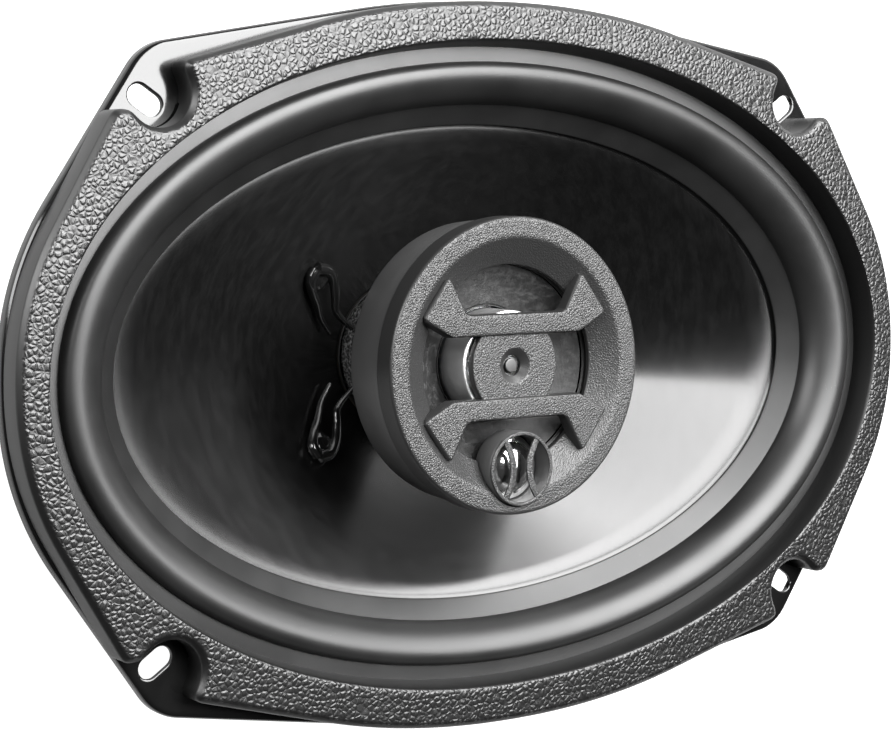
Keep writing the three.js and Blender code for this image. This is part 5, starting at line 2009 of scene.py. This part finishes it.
@dataclass
class Midrange:
    """The midrange driver: motor, sleeve, fibrous cone, surround and frame."""

    plan: Plan
    coil_radius: float = 13.0
    sleeve_wall: float = 1.0
    cone_sheet: float = 0.4

    def build_motor(self) -> None:
        """The yoke, magnet, pole plate and chrome sleeve."""
        foot, top = levels("mid_yoke")
        base, magnet_top = levels("mid_magnet")
        outside, inside = high("mid_yoke", 0), self.coil_radius + 1.5
        turned("mid_cup", "mid_yoke", Finishes.zinc, [
            (2.0, foot, 0.1), (outside, foot, 0.6), (outside, top, 0.4), (inside, top, 0.3),
            (inside, base, 0.3), (2.0, base, 0.1),
        ], 96)
        disc = ring_section(3.0, high("mid_magnet", 0), base, magnet_top, (0.2, 0.3, 0.3, 0.2))
        turned("mid_magnet_ring", "mid_magnet", Finishes.zinc, disc, 72)
        radius, plate_top = high("mid_pole_plate", 0), high("mid_pole_plate", 2)
        disc = ring_section(2.0, radius, magnet_top, plate_top, (0.1, 0.2, 0.2, 0.1))
        turned("mid_plate", "mid_pole_plate", Finishes.zinc, disc, 72)
        wall = (radius - self.sleeve_wall, radius, plate_top, high("mid_sleeve", 2), (0.1, 0.15, 0.7, 0.3))
        turned("chrome_collar", "mid_sleeve", Finishes.chrome, ring_section(*wall), 144, cuts=6)

    def build_diaphragm(self) -> None:
        """The cone with its coil, and the surround that joins it to the frame."""
        edge, edge_z = high("mid_cone", 0), high("mid_cone", 2)
        neck, neck_z = self.coil_radius + 0.35, high("mid_pole_plate", 2) - 0.3
        line = []
        for share in np.linspace(1, 0, 9):
            bow = -0.3 * (1 - (2 * share - 1) ** 2)
            line.append((neck + (edge - neck) * share, neck_z + (edge_z - neck_z) * share + bow))
        cone = sheet_section(line, self.cone_sheet)
        turned("mid_diaphragm", "mid_cone", Finishes.mid_paper, cone, 144, Body.MID)
        outside = self.coil_radius + 0.25
        former = ring_section(self.coil_radius, outside, *levels("mid_former"), (0.05,) * 4)
        turned("mid_coil_former", "mid_former", Finishes.film, former, 72, Body.MID, cuts=1)
        wind_coil("mid_coil_winding", "mid_winding", outside, 0.1, Body.MID, Finishes.lacquer)
        foot, rim = levels("mid_surround")
        flat = rim - 0.3
        inner = edge + 0.05
        span = [(high("mid_surround", 0), flat), (edge + 2.6, flat)]
        for turn in np.linspace(0.1, math.pi - 0.1, 9):
            across = (1 + math.cos(turn)) / 2
            span.append((inner + 0.2 + 2.2 * across, flat - 0.15 + 0.42 * math.sin(turn)))
        span.append((inner, foot + 0.45))
        ring = swept("mid_roll", sheet_section(span, 0.35), 144)
        dress(ring, Finishes.rubber, ["mid_surround"], None)
        radius = np.hypot(*points_mm(ring)[:, :2].T)
        bend(ring, (edge + 2.4 - radius) / 2.2)

    def build_frame(self) -> None:
        """The pressed frame that holds the surround in the housing."""
        edge = high("mid_cone", 0)
        foot, top = levels("mid_frame")
        inner = high("mid_yoke", 0) + 0.9
        line = [
            (high("mid_frame", 0), top), (edge + 1.8, top, 0.6), (edge + 1.2, top - 2.4, 0.6),
            (inner, high("mid_yoke", 2) - 1, 0.8), (inner, foot),
        ]
        turned("mid_basket", "mid_frame", Finishes.flange, sheet_section(line, 0.8), 96)

    def build(self) -> None:
        """Builds and dresses the midrange driver."""
        self.build_motor()
        self.build_diaphragm()
        self.build_frame()


# ---------- Supertweeter ----------


@dataclass
class Supertweeter:
    """The small piezo pod in the lower bar: shell, element, dome and guard."""

    wall: float = 0.8
    strut_half: float = 0.85
    strut_gap: float = 0.26
    strut_flare: float = 0.27

    def dressed(self, obj: bpy.types.Object, finish: Finish, node: str, body: Body = Body.ROOT) -> None:
        """Moves a mesh made round Z to the pod's centre and dresses it."""
        centre = (middle("supertweeter_shell", k) for k in (0, 1))
        dress(shifted(obj, *centre), finish, [node], body)

    def guard(self, radius: float, foot: float, top: float) -> bpy.types.Object:
        """The guard ring with two struts that curve away from each other."""
        ring = swept("pod_guard", ring_section(radius - 0.9, radius, foot, top, (0.2, 0.2, 0.35, 0.3)), 96)
        reach = 0.8 * radius
        rise = np.linspace(-reach, reach, 25)
        struts = []
        for side in (-1, 1):
            line = side * radius * (self.strut_gap + self.strut_flare * (rise / reach) ** 2)
            edges = [np.stack([line + half, rise], -1) for half in (self.strut_half, -self.strut_half)]
            loop = np.vstack([edges[0], edges[1][::-1]])
            strut = prism("strut", loop, foot + 0.02, top - 0.12)
            at_top = top - 0.14
            bevel_where(strut, lambda a, b: a.z > at_top and b.z > at_top, 0.22, 2)
            struts.append(strut)
        return merged("pod_guard_ring", [ring, *struts])

    def build(self) -> None:
        """Builds and dresses the supertweeter."""
        x = middle("supertweeter_shell", 0)
        radius = high("supertweeter_shell", 0) - x
        foot, face = levels("supertweeter_shell")
        shell = swept("pod_shell", [
            (0, foot), (radius, foot, 0.4), (radius, face, 0.3), (radius - self.wall, face, 0.15),
            (radius - self.wall, foot + 0.6, 0.3), (0, foot + 0.6),
        ], 96, loop=False)
        self.dressed(shell, Finishes.housing, "supertweeter_shell")
        element = high("supertweeter_piezo", 0) - x
        disc = ring_section(0, element, *levels("supertweeter_piezo"), (0, 0.1, 0.1, 0))
        self.dressed(swept("piezo_disc", disc, 72, loop=False), Finishes.ceramic, "supertweeter_piezo")
        wide = high("supertweeter_dome", 0) - x
        base, crown = levels("supertweeter_dome")
        line = [(wide, base + 0.35), (wide - 0.5, base + 0.4)]
        for turn in np.linspace(0.12, math.pi / 2, 16):
            line.append(((wide - 0.7) * math.cos(turn), base + 0.4 + (crown - base - 0.4) * math.sin(turn)))
        under = [(r * 0.93, z - 0.35) for r, z in line[:1:-1]]
        dome = swept("tweeter_dome", [*line, *under, (wide - 0.5, base), (wide, base)], 72)
        self.dressed(dome, Finishes.dome, "supertweeter_dome", Body.TWEETER)
        guard = self.guard(high("supertweeter_grille", 0) - x, *levels("supertweeter_grille"))
        self.dressed(guard, Finishes.bezel, "supertweeter_grille")


# ---------- Terminals ----------


@dataclass
class Terminals:
    """The terminal board with its two blades, rivets and crossover capacitor."""

    def rounded_block(self, name: str, node: str, edge: float) -> bpy.types.Object:
        """A block over a node's box, with all its edges rounded."""
        (x0, x1), (y0, y1) = ((low(node, k), high(node, k)) for k in (0, 1))
        made = prism(name, np.array([(x0, y0), (x1, y0), (x1, y1), (x0, y1)]), *levels(node))
        bevel_where(made, lambda a, b: True, edge, 3)
        return made

    def build_rivet(self, hand: str) -> None:
        """A brass rivet that clamps the board to its tab."""
        node = f"terminal_rivet_{hand}"
        foot, top = levels(node)
        wide = (high(node, 0) - low(node, 0)) / 2
        made = swept(f"board_rivet_{hand}", [
            (0, foot), (wide, foot, 0.35), (wide, foot + 0.8, 0.1), (1.5, foot + 0.8, 0.1),
            (1.5, top - 0.9, 0.1), (wide, top - 0.9, 0.1), (wide, top, 0.5), (0, top),
        ], 36, loop=False)
        dress(shifted(made, middle(node, 0), middle(node, 1)), Finishes.brass, [node])

    def build_capacitor(self) -> None:
        """The sleeved capacitor lying under the board, and its two wires."""
        node = "crossover_capacitor"
        radius = (high(node, 2) - low(node, 2)) / 2
        half = (high(node, 1) - low(node, 1)) / 2
        x, z = middle(node, 0), middle(node, 2)
        made = swept("capacitor_body", [
            (0, -half + 0.3), (radius - 1.1, -half + 0.3, 0.2), (radius - 0.8, -half, 0.3),
            (radius, -half, 0.5), (radius, half - 2.2, 0.5), (radius - 0.35, half - 1.7, 0.4),
            (radius, half - 1.2, 0.5), (radius, half, 0.6), (radius - 0.8, half, 0.3),
            (radius - 1.1, half - 0.3, 0.2), (0, half - 0.3),
        ], 60, loop=False)
        turn = Matrix.Translation((x * MM, 0, z * MM)) @ Matrix.Rotation(-math.pi / 2, 4, "X")
        made.data.transform(turn)
        dress(made, Finishes.sleeve, [node])
        board = low("terminal_board", 2)
        for hand, side in HANDS:
            stops = [
                (x, side * (half + 0.1), z), (x, side * (half + 1.2), z + 0.4),
                (x, side * (half + 1.8), z + 1.6), (x, side * (half + 1.8), board - 0.1),
            ]
            strand = tube(f"capacitor_tail_{hand}", smooth_path(stops, 26), np.full(26, 0.4), 10)
            dress(strand, Finishes.stud, [f"capacitor_wire_{hand}"])

    def build(self) -> None:
        """Builds and dresses the terminals."""
        board = self.rounded_block("board", "terminal_board", 0.3)
        dress(board, Finishes.board, ["terminal_board"])
        for hand, _ in HANDS:
            blade = self.rounded_block(f"blade_{hand}", f"terminal_{hand}", 0.25)
            dress(blade, Finishes.brass, [f"terminal_{hand}"])
        for hand in ("left", "right"):
            self.build_rivet(hand)
        self.build_capacitor()


# ---------- Studio ----------


@dataclass(frozen=True)
class Softbox:
    """A rectangular area light, placed and aimed in metres."""

    name: str
    place: Point
    aim: Point
    width: float
    height: float
    watts: float
    spin: float = 0.0

    def build(self) -> None:
        """Adds the light."""
        data = bpy.data.lights.new(self.name, "AREA")
        data.shape = "RECTANGLE"
        data.size, data.size_y = self.width, self.height
        data.energy = self.watts
        lamp = linked(self.name, data)
        lamp.location = self.place
        direction = Vector(self.aim) - Vector(self.place)
        spin = Matrix.Rotation(math.radians(self.spin), 3, "Z")
        lamp.rotation_euler = (direction.to_track_quat("-Z", "Y").to_matrix() @ spin).to_euler()


@dataclass
class Studio:
    """The pale floor, the soft lights and the camera."""

    plan: Plan
    yaw: float = 33.294
    pitch: float = 4.592
    roll: float = 0.459
    distance: float = 514.22
    shift_x: float = 10.492
    shift_y: float = 0.345
    lens: float = 91.52
    floor_half: float = 4.0
    floor_glow: float = 0.9
    floor_fill: float = 0.2
    lights: tuple[Softbox, ...] = (
        Softbox("overhead_panel", (0.496, 0.943, 0.98), (0.496, 0.943, 0.0), 0.95, 1.9, 120.0, -22.0),
        Softbox("far_right_panel", (2.4, 1.6, 0.75), (0, 0, 0.1), 3.0, 0.9, 17.0),
        Softbox("left_strip", (-1.0, 0.5, 0.45), (0, 0, 0.08), 0.5, 0.9, 18.0),
    )

    def floor_material(self) -> bpy.types.Material:
        """White paper that glows a little, so that shadows on it stay pale."""
        made = bpy.data.materials.new("white_paper")
        made.use_nodes = True
        shader = Shader(made.node_tree)
        surface = made.node_tree.nodes["Principled BSDF"]
        place = shader.add("ShaderNodeTexCoord").outputs["Object"]
        tone = shader.group(Effect.MOTTLE.tree(), Place=place, Patches=3.0, Grain=900.0)
        seen = shader.add("ShaderNodeLightPath").outputs["Is Camera Ray"]
        shader.put(
            surface, Roughness=0.9, Emission_Color=colour(1.0),
            Base_Color=shader.mix(tone.outputs["Tone"], colour(0.30), colour(0.32)),
            Emission_Strength=shader.span(seen, 0.0, 1.0, self.floor_fill, self.floor_glow),
        )
        return made

    def build_floor(self) -> None:
        """The sheet of paper that the speaker stands on."""
        corners = np.array([(-1, -1, 0), (1, -1, 0), (1, 1, 0), (-1, 1, 0)]) * self.floor_half / MM
        floor = linked("paper_floor", plain_mesh("paper_floor", corners, [(0, 1, 2, 3)]))
        floor.data.materials.append(self.floor_material())

    def build_world(self) -> None:
        """A pale backdrop for the camera and a dim one for reflections and fill."""
        world = bpy.data.worlds.new("studio_world")
        bpy.context.scene.world = world
        world.use_nodes = True
        s = Shader(world.node_tree)
        seen = s.add("ShaderNodeLightPath").outputs["Is Camera Ray"]
        backdrop = s.mix(seen, colour(0.05), colour(0.92))
        s.put(world.node_tree.nodes["Background"], Color=backdrop)

    def build_camera(self) -> None:
        """The camera, in front and to the left, looking down the speaker's face."""
        yaw, pitch, roll = (math.radians(a) for a in (self.yaw, self.pitch, self.roll))
        turn = Matrix.Rotation(roll, 3, "Z") @ Matrix.Rotation(pitch, 3, "X") @ Matrix.Rotation(yaw, 3, "Y")
        back = turn.transposed()
        place = -(back @ Vector((self.shift_x, self.shift_y, -self.distance)))
        place.z += self.plan.flange_top
        data = bpy.data.cameras.new("studio_camera")
        data.lens = self.lens
        data.sensor_fit = "HORIZONTAL"
        data.sensor_width = 36
        data.clip_start, data.clip_end = 0.01, 50
        camera = linked("studio_camera", data)
        camera.matrix_world = Matrix.Translation(place * MM) @ back.to_4x4()
        bpy.context.scene.camera = camera

    def build(self) -> None:
        """Builds the studio."""
        self.build_floor()
        self.build_world()
        for light in self.lights:
            light.build()
        self.build_camera()
        bpy.context.scene.view_settings.view_transform = "Standard"


def main() -> None:
    """Builds the whole speaker and its studio."""
    logging.basicConfig(level=logging.INFO, format="%(name)s: %(message)s")
    plan = Plan()
    for part in (
        Basket(plan), TrimRing(plan), Diaphragm(plan), Motor(plan), CentrePost(plan),
        Bezel(plan), Midrange(plan), Supertweeter(), Terminals(), Studio(plan),
    ):
        log.info("building %s", type(part).__name__)
        part.build()


if __name__ == "__main__":
    main()
